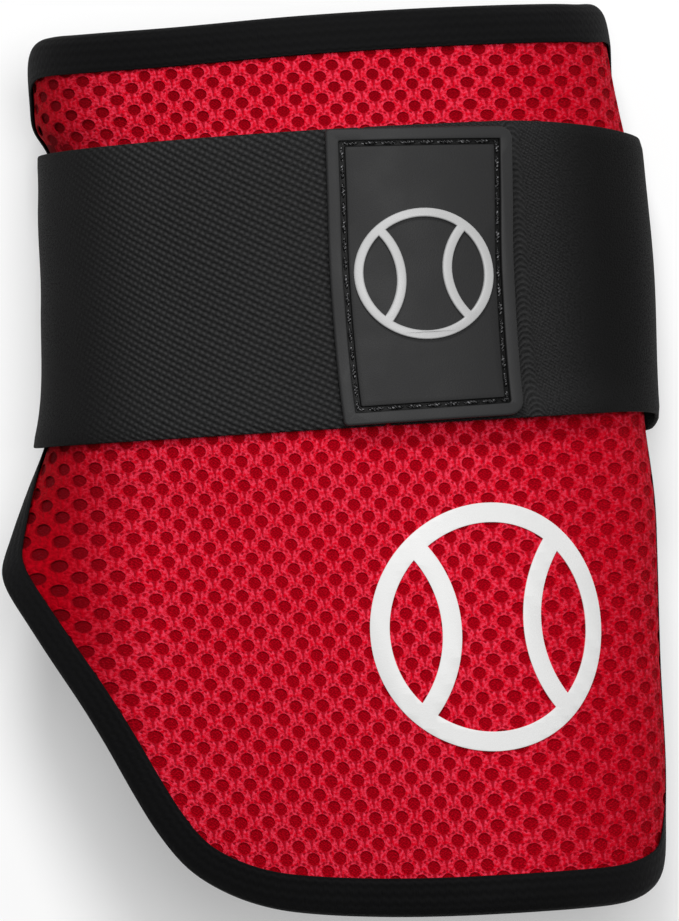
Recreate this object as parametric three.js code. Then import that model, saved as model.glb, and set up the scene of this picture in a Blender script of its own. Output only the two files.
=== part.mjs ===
import * as THREE from 'three';

// Frame: X across the arm, +Y toward the upper-arm end, +Z away from the floor, floor at Z 0, millimetres.
// The guard lies on its strap with its outer face up, and stays open along Y for the arm.

// Overall sizes of the padded shell
const LENGTH = 195;
const WIDTH = 137;
const HEIGHT = 77;
const HALF_LENGTH = LENGTH / 2;
const HALF_WIDTH = WIDTH / 2;
const HALF_GIRTH = 120;
const CENTRE_SHIFT_X = 1.5;

// Cross sections: a wide crown arc and a tighter side arc meet at the shoulder angle,
// then a nearly straight run down to the edge
const SHOULDER = Math.PI / 4;
const FLARE_RUN = 16;
const TUCK_RADIUS = 110;
const LOWER_RUN = 200;

// Layers of the shell, measured inward from the outer face of the cover
const GAP = 0.3;
const COVER_THICK = 1.6;
const PAD_THICK = 7;
const PAD_EDGE_THICK = 3;
const PAD_TOP = -(COVER_THICK + GAP);
const PAD_TAPER = 16;

// Edge binding folded round the edge of cover and pad
const BINDING_WIDTH = 8.7;
const BINDING_THICK = 1.2;
const BINDING_ROUND = 0.9;
const BINDING_INNER_GAP = 0.6;
const PANEL_INSET = BINDING_THICK + BINDING_INNER_GAP;
const BINDING_TOP = GAP + BINDING_THICK;

// Closure strap
const STRAP_GAP = 0.5;
const STRAP_THICK = 1.6;
const STRAP_WIDTH = 63.9;
const STRAP_LOW_Y = 8.6;
const STRAP_HIGH_Y = STRAP_LOW_Y + STRAP_WIDTH;
const STRAP_LIFT_RUN = 6;
const STRAP_PAST_EDGE = 2;
const STRAP_CORNER_RUN = 20;
const STRAP_SEAM_X = 20;
const STRAP_SEAM_GAP = 0.4;
const STRAP_SLIP = 4.6;
const ELASTIC_END = 9;
const LOOP_END = 10;
const STRAP_ROWS = 4;
const STRAP_FRONT_STEPS = 11;
const STRAP_LIFT_STEPS = 2;
const STRAP_EDGE_STEPS = 3;
const STRAP_TOP_STEPS = STRAP_FRONT_STEPS + STRAP_LIFT_STEPS + STRAP_EDGE_STEPS;
const STRAP_CORNER_STEPS = 5;
const STRAP_FLOOR_STEPS = 3;
const TOP_AND_CORNER_STEPS = STRAP_TOP_STEPS + STRAP_CORNER_STEPS;

// Moulded pull tab: its ends stop just short of the strap's edges
const TAB_WIDTH = 38.3;
const TAB_LEFT = 1.8;
const TAB_LOW_LEAN = 1.5;
const TAB_LOW_NARROWING = 1.5;
const TAB_TOP_INSET = 0.1;
const TAB_TOP_SLANT = 1.4;
const TAB_LOW_INSET = 0.4;
const TAB_LOW_SLANT = 0.3;
const TAB_LEFT_ROUND = 1;
const TAB_TOP_ROUND = 2.8;
const TAB_LOW_ROUND = 3.2;
const TAB_COLS = 8;
const TAB_ROWS = 10;
const TAB_THICK = 2.5;
const TAB_BASE_LEFT = 2.7;
const TAB_BASE_RIGHT = 5;
const TAB_EDGE_BEVEL = 0.5;
const TAB_GROOVE_START = 2.6;
const TAB_GROOVE_WIDTH = 1.3;
const TAB_GROOVE_DEPTH = 0.8;
const TAB_GROOVE_SLOPE = 0.3;
const TAB_FIELD_DROP = 0.15;
const MIN_ROUND = 0.4;

// Hook patch under the pull tab, set in from its edges
const HOOK_THICK = 0.8;
const HOOK_LEFT_INSET = 14.2;
const HOOK_RIGHT_INSET = 5.6;
const HOOK_END_INSET = 6.4;
const HOOK_ROUND = 1.5;
const HOOK_COLS = 4;
const HOOK_ROWS = 6;

// Raised ball emblem in the middle of the tab
const EMBLEM_RADIUS = 14;
const EMBLEM_LINE = 1.7;
const EMBLEM_THICK = 0.7;
const EMBLEM_GAP = 0.4;
const EMBLEM_SEAM_REACH = 4.6;
const EMBLEM_SEAM_RADIUS = 14.5;
const EMBLEM_STEPS = 8;
const EMBLEM_RIM_STEPS = 32;

// Grid density of the shell panels
const COLS = 20;
const ROWS = 18;
const SPLINE_STEPS = 16;
const RELAX_ROUNDS = 30;

// Cross sections from the upper-arm end to the forearm end.
// along: share of HALF_LENGTH. crownX: share of HALF_WIDTH. crownZ: share of HEIGHT.
// left, right and leftDrop, rightDrop: where a side would stand upright, as shares of HALF_WIDTH and HEIGHT.
// flare: outward turn of the left lower edge, degrees.
const SECTION_COLUMNS = ['along', 'crownX', 'crownZ', 'left', 'right', 'leftDrop', 'rightDrop', 'flare'];
const SECTIONS = [
  [1.00, -0.01, 0.860, 0.895, 0.935, 0.60, 0.62, 12],
  [0.84, 0.00, 0.880, 0.893, 0.958, 0.60, 0.62, 8],
  [0.70, 0.00, 0.902, 0.862, 0.989, 0.61, 0.63, 4],
  [0.41, 0.00, 0.930, 0.858, 1.006, 0.61, 0.64, 0],
  [0.08, 0.03, 0.955, 0.918, 0.992, 0.64, 0.62, 5],
  [-0.12, 0.08, 0.965, 1.100, 1.004, 0.79, 0.58, 5],
  [-0.22, 0.12, 0.970, 1.243, 0.998, 0.78, 0.56, 0],
  [-0.46, 0.20, 0.965, 1.493, 0.985, 0.90, 0.51, 0],
  [-0.75, 0.29, 0.930, 1.575, 0.978, 0.94, 0.47, 0],
  [-1.00, 0.34, 0.870, 1.410, 0.940, 0.97, 0.44, 0],
].map((row) => Object.fromEntries(row.map((value, i) => [SECTION_COLUMNS[i], value])));

// Outline of the shell laid flat, clockwise seen from outside.
// across: share of HALF_GIRTH from the crown line. along: share of HALF_LENGTH.
// corner: true at the four corners.
const OUTLINE = [
  { across: -0.700, along: 0.965, corner: true },
  { across: -0.610, along: 1.000, corner: false },
  { across: -0.500, along: 1.000, corner: false },
  { across: -0.250, along: 0.994, corner: false },
  { across: 0.000, along: 0.999, corner: false },
  { across: 0.330, along: 1.003, corner: false },
  { across: 0.600, along: 1.005, corner: false },
  { across: 0.715, along: 1.003, corner: false },
  { across: 0.812, along: 0.945, corner: true },
  { across: 0.865, along: 0.840, corner: false },
  { across: 0.875, along: 0.700, corner: false },
  { across: 0.880, along: 0.410, corner: false },
  { across: 0.845, along: 0.080, corner: false },
  { across: 0.775, along: -0.120, corner: false },
  { across: 0.718, along: -0.300, corner: false },
  { across: 0.672, along: -0.480, corner: false },
  { across: 0.625, along: -0.690, corner: false },
  { across: 0.590, along: -0.800, corner: false },
  { across: 0.538, along: -0.882, corner: true },
  { across: 0.480, along: -0.948, corner: false },
  { across: 0.398, along: -0.982, corner: false },
  { across: 0.305, along: -0.998, corner: false },
  { across: 0.200, along: -0.998, corner: false },
  { across: 0.060, along: -0.996, corner: false },
  { across: -0.108, along: -0.991, corner: false },
  { across: -0.285, along: -0.973, corner: false },
  { across: -0.380, along: -0.950, corner: false },
  { across: -0.427, along: -0.926, corner: false },
  { across: -0.502, along: -0.862, corner: false },
  { across: -0.554, along: -0.757, corner: false },
  { across: -0.603, along: -0.578, corner: false },
  { across: -0.649, along: -0.440, corner: false },
  { across: -0.689, along: -0.354, corner: false },
  { across: -0.718, along: -0.290, corner: false },
  { across: -0.760, along: -0.215, corner: true },
  { across: -0.785, along: -0.130, corner: false },
  { across: -0.788, along: -0.030, corner: false },
  { across: -0.828, along: 0.080, corner: false },
  { across: -0.808, along: 0.210, corner: false },
  { across: -0.800, along: 0.410, corner: false },
  { across: -0.798, along: 0.700, corner: false },
  { across: -0.760, along: 0.852, corner: false },
];

// Colours
const MESH_RED = 0xb81729;
const PAD_BLACK = 0x1c1c1e;
const BINDING_BLACK = 0x161617;
const ELASTIC_BLACK = 0x2a2a2c;
const LOOP_BLACK = 0x262628;
const HOOK_BLACK = 0x202022;
const RUBBER_BLACK = 0x3a3a3c;
const EMBLEM_GREY = 0xb4b4b6;

// Curves through table rows

function hermite(xs, values, x) {
  const last = xs.length - 1;
  const slopes = values.slice(1).map((value, i) => (value - values[i]) / (xs[i + 1] - xs[i]));
  const tangents = values.map((_, i) => {
    if (i === 0) return slopes[0];
    if (i === last) return slopes[last - 1];
    return (slopes[i - 1] + slopes[i]) / 2;
  });
  let i = 0;
  while (i < last - 1 && x > xs[i + 1]) i += 1;
  const step = xs[i + 1] - xs[i];
  const t = THREE.MathUtils.clamp((x - xs[i]) / step, 0, 1);
  const t2 = t * t;
  const t3 = t2 * t;
  return values[i] * (2 * t3 - 3 * t2 + 1) + tangents[i] * step * (t3 - 2 * t2 + t)
    + values[i + 1] * (3 * t2 - 2 * t3) + tangents[i + 1] * step * (t3 - t2);
}

const SECTION_ROWS = [...SECTIONS].reverse();
const SECTION_YS = SECTION_ROWS.map((row) => row.along * HALF_LENGTH);

function sectionValue(name, y) {
  return hermite(SECTION_YS, SECTION_ROWS.map((row) => row[name]), y);
}

function sideOfSection(y, side) {
  const crownX = sectionValue('crownX', y) * HALF_WIDTH;
  const reach = sectionValue(side < 0 ? 'left' : 'right', y) * HALF_WIDTH;
  const drop = sectionValue(side < 0 ? 'leftDrop' : 'rightDrop', y) * HEIGHT;
  const flare = side < 0 ? THREE.MathUtils.degToRad(sectionValue('flare', y)) : 0;
  const crownZ = sectionValue('crownZ', y) * HEIGHT;
  return { crownX, crownZ, reach: reach - side * crownX, drop, flare };
}

// Two arcs that leave the crown level and end upright at the given reach and drop, then the lower edge
function arcsOfSide({ reach, drop, flare }) {
  const sin = Math.sin(SHOULDER);
  const cos = Math.cos(SHOULDER);
  const det = sin * cos - (1 - sin) * (1 - cos);
  const crownRadius = (reach * cos - drop * (1 - sin)) / det;
  const sideRadius = (drop * sin - reach * (1 - cos)) / det;
  return [
    { length: crownRadius * SHOULDER, bend: 1 / crownRadius },
    { length: sideRadius * (Math.PI / 2 - SHOULDER), bend: 1 / sideRadius },
    { length: FLARE_RUN, bend: 1 / TUCK_RADIUS - flare / FLARE_RUN },
    { length: LOWER_RUN, bend: 0 },
  ];
}

function walkArcs(arcs, distance) {
  let across = 0;
  let down = 0;
  let turn = 0;
  let left = distance;
  for (const { length, bend } of arcs) {
    const run = Math.min(length, left);
    const next = turn + bend * run;
    if (bend === 0) {
      across += run * Math.cos(turn);
      down += run * Math.sin(turn);
    } else {
      across += (Math.sin(next) - Math.sin(turn)) / bend;
      down += (Math.cos(turn) - Math.cos(next)) / bend;
    }
    turn = next;
    left -= run;
    if (left <= 0) break;
  }
  return { across, down, turn };
}

// Point of the shell at arc length s from the crown line, arm position y and height n above the cover
function place(s, y, n) {
  const side = s < 0 ? -1 : 1;
  const section = sideOfSection(y, side);
  const { across, down, turn } = walkArcs(arcsOfSide(section), Math.abs(s));
  const x = section.crownX + side * (across + n * Math.sin(turn));
  return [x, y, section.crownZ - down + n * Math.cos(turn)];
}

// Loops in the flat plane of the shell, each point [s, y]

function outlineCurve() {
  const points = OUTLINE.map((row) => new THREE.Vector3(row.across * HALF_GIRTH, row.along * HALF_LENGTH, 0));
  return new THREE.CatmullRomCurve3(points, true, 'centripetal');
}

function spacedPoints(curve, from, to, steps) {
  const samples = [];
  const count = steps * SPLINE_STEPS;
  for (let i = 0; i <= count; i += 1) samples.push(curve.getPoint((from + ((to - from) * i) / count) % 1));
  const lengths = [0];
  for (let i = 1; i <= count; i += 1) lengths.push(lengths[i - 1] + samples[i].distanceTo(samples[i - 1]));
  const points = [];
  let at = 0;
  for (let i = 0; i < steps; i += 1) {
    const goal = (lengths[count] * i) / steps;
    while (at < count - 1 && lengths[at + 1] < goal) at += 1;
    const share = (goal - lengths[at]) / (lengths[at + 1] - lengths[at]);
    points.push([
      THREE.MathUtils.lerp(samples[at].x, samples[at + 1].x, share),
      THREE.MathUtils.lerp(samples[at].y, samples[at + 1].y, share),
    ]);
  }
  return points;
}

function shellLoop() {
  const curve = outlineCurve();
  const shares = OUTLINE.map((row, i) => (row.corner ? i / OUTLINE.length : -1));
  const corners = shares.filter((share) => share >= 0);
  const ends = [...corners.slice(1), corners[0] + 1];
  return corners.flatMap((from, i) => spacedPoints(curve, from, ends[i], i % 2 ? ROWS : COLS));
}

function insetLoop(loop, inset) {
  const count = loop.length;
  return loop.map(([s, y], i) => {
    const before = loop[(i + count - 1) % count];
    const after = loop[(i + 1) % count];
    const length = Math.hypot(after[0] - before[0], after[1] - before[1]);
    return [
      s + ((after[1] - before[1]) / length) * inset,
      y - ((after[0] - before[0]) / length) * inset,
    ];
  });
}

function distanceToLoop(loop, [s, y]) {
  let best = Infinity;
  loop.forEach(([s0, y0], i) => {
    const [s1, y1] = loop[(i + 1) % loop.length];
    const span = (s1 - s0) ** 2 + (y1 - y0) ** 2;
    const share = THREE.MathUtils.clamp(((s - s0) * (s1 - s0) + (y - y0) * (y1 - y0)) / span, 0, 1);
    best = Math.min(best, Math.hypot(s - s0 - share * (s1 - s0), y - y0 - share * (y1 - y0)));
  });
  return best;
}

// Corners are clockwise from the upper left. Each is cut round.
// The loop starts at the middle of the first.
function roundedLoop(corners, rounds, inset, cols, rows) {
  const arcs = corners.map((corner, i) => {
    const before = corners[(i + 3) % 4];
    const after = corners[(i + 1) % 4];
    const round = Math.max(rounds[i] - inset, MIN_ROUND);
    const toBefore = unit(corner, before);
    const toAfter = unit(corner, after);
    const sine = Math.abs(toBefore[0] * toAfter[1] - toBefore[1] * toAfter[0]);
    const core = [0, 1].map((k) => corner[k] + ((toBefore[k] + toAfter[k]) * inset) / sine);
    const start = [0, 1].map((k) => core[k] + toBefore[k] * round);
    const end = [0, 1].map((k) => core[k] + toAfter[k] * round);
    const mid = [0, 1].map((k) => core[k] + (toBefore[k] + toAfter[k]) * round * (1 - Math.SQRT1_2));
    return { start, mid, end };
  });
  return arcs.flatMap((arc, i) => {
    const next = arcs[(i + 1) % 4];
    const steps = (i % 2 ? rows : cols) - 2;
    const points = [arc.mid];
    for (let k = 0; k <= steps; k += 1) points.push(between(arc.end, next.start, k / steps));
    return points;
  });
}

function unit(from, to) {
  const length = Math.hypot(to[0] - from[0], to[1] - from[1]);
  return [(to[0] - from[0]) / length, (to[1] - from[1]) / length];
}

function between(from, to, share) {
  return [THREE.MathUtils.lerp(from[0], to[0], share), THREE.MathUtils.lerp(from[1], to[1], share)];
}

// Grid of points filling a loop of 2 * (cols + rows) points
function fillLoop(loop, cols, rows) {
  const top = (i) => loop[i];
  const right = (j) => loop[cols + j];
  const bottom = (i) => loop[cols + rows + (cols - i)];
  const left = (j) => loop[(2 * cols + rows + (rows - j)) % loop.length];
  const grid = [];
  for (let j = 0; j <= rows; j += 1) {
    const v = j / rows;
    const line = [];
    for (let i = 0; i <= cols; i += 1) {
      const u = i / cols;
      line.push([0, 1].map((k) => (1 - v) * top(i)[k] + v * bottom(i)[k]
        + (1 - u) * left(j)[k] + u * right(j)[k]
        - (1 - u) * (1 - v) * top(0)[k] - u * (1 - v) * top(cols)[k]
        - (1 - u) * v * bottom(0)[k] - u * v * bottom(cols)[k]));
    }
    grid.push(line);
  }
  for (let round = 0; round < RELAX_ROUNDS; round += 1) relax(grid);
  return grid;
}

// Moves each inner point to the middle of its four neighbours
function relax(grid) {
  for (let j = 1; j < grid.length - 1; j += 1) {
    for (let i = 1; i < grid[j].length - 1; i += 1) {
      const around = [grid[j - 1][i], grid[j + 1][i], grid[j][i - 1], grid[j][i + 1]];
      grid[j][i] = [0, 1].map((k) => around.reduce((sum, point) => sum + point[k], 0) / around.length);
    }
  }
}

// Solids

function solid(name, colour, quads) {
  const positions = [];
  for (const [a, b, c, d] of quads) positions.push(...a, ...b, ...c, ...a, ...c, ...d);
  const geometry = new THREE.BufferGeometry();
  geometry.setAttribute('position', new THREE.Float32BufferAttribute(positions, 3));
  geometry.computeVertexNormals();
  return meshOf(name, colour, geometry);
}

function meshOf(name, colour, geometry) {
  const material = new THREE.MeshStandardMaterial({ color: colour, roughness: 0.8 });
  const mesh = new THREE.Mesh(geometry, material);
  mesh.name = name;
  return mesh;
}

// Sheet body over nested loops, outermost first; level(point, ring) gives the heights of its two faces
function sheetBody(loops, cols, rows, level) {
  const lift = (point, ring, face) => place(point[0], point[1], level(point, ring)[face]);
  const inner = loops.length - 1;
  const count = loops[0].length;
  const upper = loops.map((loop, ring) => loop.map((point) => lift(point, ring, 'upper')));
  const lower = loops.map((loop, ring) => loop.map((point) => lift(point, ring, 'lower')));
  const quads = [];
  for (let i = 0; i < count; i += 1) {
    const k = (i + 1) % count;
    quads.push([upper[0][i], upper[0][k], lower[0][k], lower[0][i]]);
    for (let ring = 0; ring < inner; ring += 1) {
      quads.push([upper[ring][i], upper[ring + 1][i], upper[ring + 1][k], upper[ring][k]]);
      quads.push([lower[ring][i], lower[ring][k], lower[ring + 1][k], lower[ring + 1][i]]);
    }
  }
  const flat = fillLoop(loops[inner], cols, rows);
  const top = flat.map((line) => line.map((point) => lift(point, inner, 'upper')));
  const base = flat.map((line) => line.map((point) => lift(point, inner, 'lower')));
  for (let j = 0; j < rows; j += 1) {
    for (let i = 0; i < cols; i += 1) {
      quads.push([top[j][i], top[j + 1][i], top[j + 1][i + 1], top[j][i + 1]]);
      quads.push([base[j][i], base[j][i + 1], base[j + 1][i + 1], base[j + 1][i]]);
    }
  }
  return quads;
}

function padThickAt(loop, point) {
  const share = THREE.MathUtils.smoothstep(distanceToLoop(loop, point), 0, PAD_TAPER);
  return THREE.MathUtils.lerp(PAD_EDGE_THICK, PAD_THICK, share);
}

function meshCover(loop) {
  const loops = [insetLoop(loop, PANEL_INSET), insetLoop(loop, BINDING_WIDTH)];
  const level = () => ({ upper: 0, lower: -COVER_THICK });
  return solid('mesh_cover', MESH_RED, sheetBody(loops, COLS, ROWS, level));
}

function shellPad(loop) {
  const loops = [insetLoop(loop, PANEL_INSET), insetLoop(loop, BINDING_WIDTH)];
  const level = (point) => ({ upper: PAD_TOP, lower: PAD_TOP - padThickAt(loop, point) });
  return solid('shell_pad', PAD_BLACK, sheetBody(loops, COLS, ROWS, level));
}

// Index of the section face that looks at the edges of cover and pad
const WALL_FACE = 8;

// Section of the binding as [inset from the outline, height], clockwise seen along the edge
function bindingSection(loop, i) {
  const deep = (inset) => PAD_TOP - padThickAt(loop, insetLoop(loop, inset)[i]) - BINDING_INNER_GAP;
  const edgeDeep = deep(PANEL_INSET);
  const freeDeep = deep(BINDING_WIDTH);
  return [
    [BINDING_WIDTH, GAP],
    [BINDING_WIDTH, BINDING_TOP],
    [PANEL_INSET, BINDING_TOP],
    [0, BINDING_TOP - BINDING_THICK - BINDING_ROUND],
    [0, edgeDeep + BINDING_ROUND],
    [PANEL_INSET, edgeDeep - BINDING_THICK],
    [BINDING_WIDTH, freeDeep - BINDING_THICK],
    [BINDING_WIDTH, freeDeep],
    [BINDING_THICK, edgeDeep],
    [BINDING_THICK, GAP],
  ];
}

function edgeBinding(loop) {
  const insets = new Map();
  const insetPoint = (inset, i) => {
    if (!insets.has(inset)) insets.set(inset, insetLoop(loop, inset));
    return insets.get(inset)[i];
  };
  const sections = loop.map((_, i) => bindingSection(loop, i));
  const stations = sections.map((section, i) => section.map(([inset, n]) => {
    const [s, y] = insetPoint(inset, i);
    return place(s, y, n);
  }));
  const quads = [];
  stations.forEach((here, i) => {
    const next = stations[(i + 1) % stations.length];
    here.forEach((point, k) => {
      const j = (k + 1) % here.length;
      const outward = sections[i][k][0] > sections[i][j][0] || k === WALL_FACE;
      quads.push(outward ? [next[k], next[j], here[j], point] : [point, next[k], next[j], here[j]]);
    });
  });
  return solid('edge_binding', BINDING_BLACK, quads);
}

// Strap path

function edgeArc(loop, y, side) {
  const crossings = [];
  loop.forEach(([s0, y0], i) => {
    const [s1, y1] = loop[(i + 1) % loop.length];
    if ((y0 - y) * (y1 - y) <= 0 && y0 !== y1) crossings.push(s0 + ((s1 - s0) * (y - y0)) / (y1 - y0));
  });
  return Math.max(...crossings.map((s) => s * side));
}

function strapLiftStart(edge) {
  return edge - BINDING_WIDTH - STRAP_LIFT_RUN;
}

function strapHeight(edge, s) {
  const from = strapLiftStart(edge);
  return STRAP_GAP + BINDING_TOP * THREE.MathUtils.smoothstep(Math.abs(s), from, from + STRAP_LIFT_RUN - 1);
}

// Arc length of a station: even steps over the front, then over the lift onto the binding, then past the edge
function strapArc(edge, side, end, station) {
  const liftStart = strapLiftStart(edge);
  const liftEnd = liftStart + STRAP_LIFT_RUN - 1;
  const lifted = station - STRAP_FRONT_STEPS;
  const past = lifted - STRAP_LIFT_STEPS;
  if (lifted <= 0) return THREE.MathUtils.lerp(end, side * liftStart, station / STRAP_FRONT_STEPS);
  if (past <= 0) return side * THREE.MathUtils.lerp(liftStart, liftEnd, lifted / STRAP_LIFT_STEPS);
  return side * THREE.MathUtils.lerp(liftEnd, edge + STRAP_PAST_EDGE, past / STRAP_EDGE_STEPS);
}

function strapOnShell(loop, side, end, station, y, n) {
  const edge = edgeArc(loop, y, side);
  const s = strapArc(edge, side, end, station);
  return place(s, y, strapHeight(edge, s) + n);
}

function strapRoundCorner(loop, side, share, y, n) {
  const edge = edgeArc(loop, y, side);
  const s = side * (edge + STRAP_PAST_EDGE);
  const [x, , z] = place(s, y, strapHeight(edge, s) + n);
  const outer = place(s, y, strapHeight(edge, s) + STRAP_THICK);
  const floorX = outer[0] - side * STRAP_CORNER_RUN;
  const floorZ = STRAP_THICK - n;
  const angle = (share * Math.PI) / 2;
  return [floorX + (x - floorX) * Math.cos(angle), y, z + (floorZ - z) * Math.sin(angle)];
}

function strapOnFloor(loop, side, share, y, n) {
  const corner = strapRoundCorner(loop, side, 1, y, n);
  const seam = STRAP_SEAM_X + side * STRAP_SEAM_GAP / 2;
  return [THREE.MathUtils.lerp(corner[0], seam, share), y, STRAP_THICK - n];
}

// Stations from the end under the tab, round one side, to the seam on the floor
function strapStations(loop, side, end) {
  const stations = [];
  for (let i = 0; i <= STRAP_TOP_STEPS; i += 1) {
    stations.push((y, n) => strapOnShell(loop, side, end, i, y, n));
  }
  for (let i = 1; i <= STRAP_CORNER_STEPS; i += 1) {
    stations.push((y, n) => strapRoundCorner(loop, side, i / STRAP_CORNER_STEPS, y, n));
  }
  for (let i = 1; i <= STRAP_FLOOR_STEPS; i += 1) {
    stations.push((y, n) => strapOnFloor(loop, side, i / STRAP_FLOOR_STEPS, y, n));
  }
  return stations;
}

// The right half slips toward the forearm as it rounds the side, its upper edge first.
// The left half meets it at the seam on the floor.
const LOOP_TOP_SLIP = { from: 4, to: 13 };
const LOOP_LOW_SLIP = { from: 8, to: 19 };
const ELASTIC_SLIP = { from: TOP_AND_CORNER_STEPS, to: TOP_AND_CORNER_STEPS + STRAP_FLOOR_STEPS };

function strapSlip(station, { from, to }) {
  return STRAP_SLIP * THREE.MathUtils.smoothstep(station, from, to);
}

// Lower and upper edge of the strap at a station
function strapEdges(side, station) {
  const lowSlip = strapSlip(station, side < 0 ? ELASTIC_SLIP : LOOP_LOW_SLIP);
  const highSlip = strapSlip(station, side < 0 ? ELASTIC_SLIP : LOOP_TOP_SLIP);
  return { low: STRAP_LOW_Y - lowSlip, high: STRAP_HIGH_Y - highSlip };
}

function strapBody(loop, side, end) {
  const stations = strapStations(loop, side, end);
  const grid = (n) => stations.map((at, k) => {
    const { low, high } = strapEdges(side, k);
    const line = [];
    for (let j = 0; j <= STRAP_ROWS; j += 1) {
      line.push(at(THREE.MathUtils.lerp(low, high, j / STRAP_ROWS), n));
    }
    return line;
  });
  const outer = grid(STRAP_THICK);
  const inner = grid(0);
  const quads = [];
  const last = stations.length - 1;
  for (let k = 0; k < last; k += 1) {
    for (let j = 0; j < STRAP_ROWS; j += 1) {
      quads.push([outer[k][j], outer[k + 1][j], outer[k + 1][j + 1], outer[k][j + 1]]);
      quads.push([inner[k][j], inner[k][j + 1], inner[k + 1][j + 1], inner[k + 1][j]]);
    }
    quads.push([outer[k][0], inner[k][0], inner[k + 1][0], outer[k + 1][0]]);
    const top = STRAP_ROWS;
    quads.push([outer[k][top], outer[k + 1][top], inner[k + 1][top], inner[k][top]]);
  }
  for (let j = 0; j < STRAP_ROWS; j += 1) {
    quads.push([outer[0][j], outer[0][j + 1], inner[0][j + 1], inner[0][j]]);
    quads.push([outer[last][j], inner[last][j], inner[last][j + 1], outer[last][j + 1]]);
  }
  return side < 0 ? quads.map((quad) => [...quad].reverse()) : quads;
}

function elasticStrap(loop) {
  return solid('elastic_strap', ELASTIC_BLACK, strapBody(loop, -1, ELASTIC_END));
}

function loopStrap(loop) {
  return solid('loop_strap', LOOP_BLACK, strapBody(loop, 1, LOOP_END));
}

// Pull tab, hook patch and emblem

// Corners of the tab as [s, y], clockwise from the upper left
const TAB_CORNERS = [
  [TAB_LEFT, STRAP_HIGH_Y - TAB_TOP_INSET],
  [TAB_LEFT + TAB_WIDTH, STRAP_HIGH_Y - TAB_TOP_INSET - TAB_TOP_SLANT],
  [TAB_LEFT - TAB_LOW_LEAN + TAB_WIDTH - TAB_LOW_NARROWING, STRAP_LOW_Y + TAB_LOW_INSET + TAB_LOW_SLANT],
  [TAB_LEFT - TAB_LOW_LEAN, STRAP_LOW_Y + TAB_LOW_INSET],
];
const TAB_ROUNDS = [TAB_LEFT_ROUND, TAB_TOP_ROUND, TAB_LOW_ROUND, TAB_LEFT_ROUND];
const TAB_MIDDLE = [0, 1].map((k) => TAB_CORNERS.reduce((sum, corner) => sum + corner[k], 0) / 4);

function tabBase(s) {
  return THREE.MathUtils.lerp(TAB_BASE_LEFT, TAB_BASE_RIGHT, (s - TAB_LEFT) / TAB_WIDTH);
}

function pullTab() {
  const field = TAB_THICK - TAB_FIELD_DROP;
  const rings = [
    { inset: 0, height: TAB_THICK - TAB_EDGE_BEVEL },
    { inset: TAB_EDGE_BEVEL, height: TAB_THICK },
    { inset: TAB_GROOVE_START, height: TAB_THICK },
    { inset: TAB_GROOVE_START + TAB_GROOVE_SLOPE, height: TAB_THICK - TAB_GROOVE_DEPTH },
    { inset: TAB_GROOVE_START + TAB_GROOVE_WIDTH - TAB_GROOVE_SLOPE, height: TAB_THICK - TAB_GROOVE_DEPTH },
    { inset: TAB_GROOVE_START + TAB_GROOVE_WIDTH, height: field },
  ];
  const loops = rings.map(({ inset }) => roundedLoop(TAB_CORNERS, TAB_ROUNDS, inset, TAB_COLS, TAB_ROWS));
  const level = ([s], ring) => ({ upper: tabBase(s) + rings[ring].height, lower: tabBase(s) });
  return solid('pull_tab', RUBBER_BLACK, sheetBody(loops, TAB_COLS, TAB_ROWS, level));
}

function hookCorners() {
  const [upperLeft, upperRight, lowerRight] = TAB_CORNERS;
  const left = upperLeft[0] + HOOK_LEFT_INSET;
  const high = STRAP_HIGH_Y - HOOK_END_INSET;
  const low = STRAP_LOW_Y + HOOK_END_INSET;
  return [
    [left, high],
    [upperRight[0] - HOOK_RIGHT_INSET, high],
    [lowerRight[0] - HOOK_RIGHT_INSET, low],
    [left, low],
  ];
}

function hookPatch() {
  const corners = hookCorners();
  const rounds = corners.map(() => HOOK_ROUND);
  const base = STRAP_GAP + STRAP_THICK + GAP;
  const loops = [roundedLoop(corners, rounds, 0, HOOK_COLS, HOOK_ROWS)];
  const level = () => ({ upper: base + HOOK_THICK, lower: base });
  return solid('hook_patch', HOOK_BLACK, sheetBody(loops, HOOK_COLS, HOOK_ROWS, level));
}

function arcPoints(radius, centreX, from, to, steps = EMBLEM_STEPS) {
  const points = [];
  for (let i = 0; i <= steps; i += 1) {
    const angle = THREE.MathUtils.lerp(from, to, i / steps);
    points.push(new THREE.Vector2(centreX + radius * Math.cos(angle), radius * Math.sin(angle)));
  }
  return points;
}

// Where a seam circle crosses the rim, as angles seen from the ball's centre and from the seam's
function seamCrossing(seamX, seamRadius, rim) {
  const x = (rim ** 2 - seamRadius ** 2 + seamX ** 2) / (2 * seamX);
  const y = Math.sqrt(rim ** 2 - x ** 2);
  return { fromRim: Math.atan2(y, x), fromSeam: Math.atan2(y, x - seamX) };
}

// Field beyond a seam, and field between the two seams, each as a closed line
function sideField(rim, seamX) {
  const radius = EMBLEM_SEAM_RADIUS - EMBLEM_LINE / 2;
  const { fromRim, fromSeam } = seamCrossing(seamX, radius, rim);
  const seam = arcPoints(radius, seamX, fromSeam, Math.PI * 2 - fromSeam);
  return [...arcPoints(rim, 0, -fromRim, fromRim), ...seam.slice(1, -1)];
}

function middleField(rim, seamX) {
  const radius = EMBLEM_SEAM_RADIUS + EMBLEM_LINE / 2;
  const { fromRim, fromSeam } = seamCrossing(seamX, radius, rim);
  const leftSeam = arcPoints(radius, -seamX, Math.PI - fromSeam, fromSeam - Math.PI);
  const rightSeam = arcPoints(radius, seamX, -fromSeam, fromSeam - Math.PI * 2);
  return [
    ...arcPoints(rim, 0, fromRim, Math.PI - fromRim),
    ...leftSeam.slice(1, -1),
    ...arcPoints(rim, 0, Math.PI + fromRim, Math.PI * 2 - fromRim),
    ...rightSeam.slice(1, -1),
  ];
}

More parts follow.
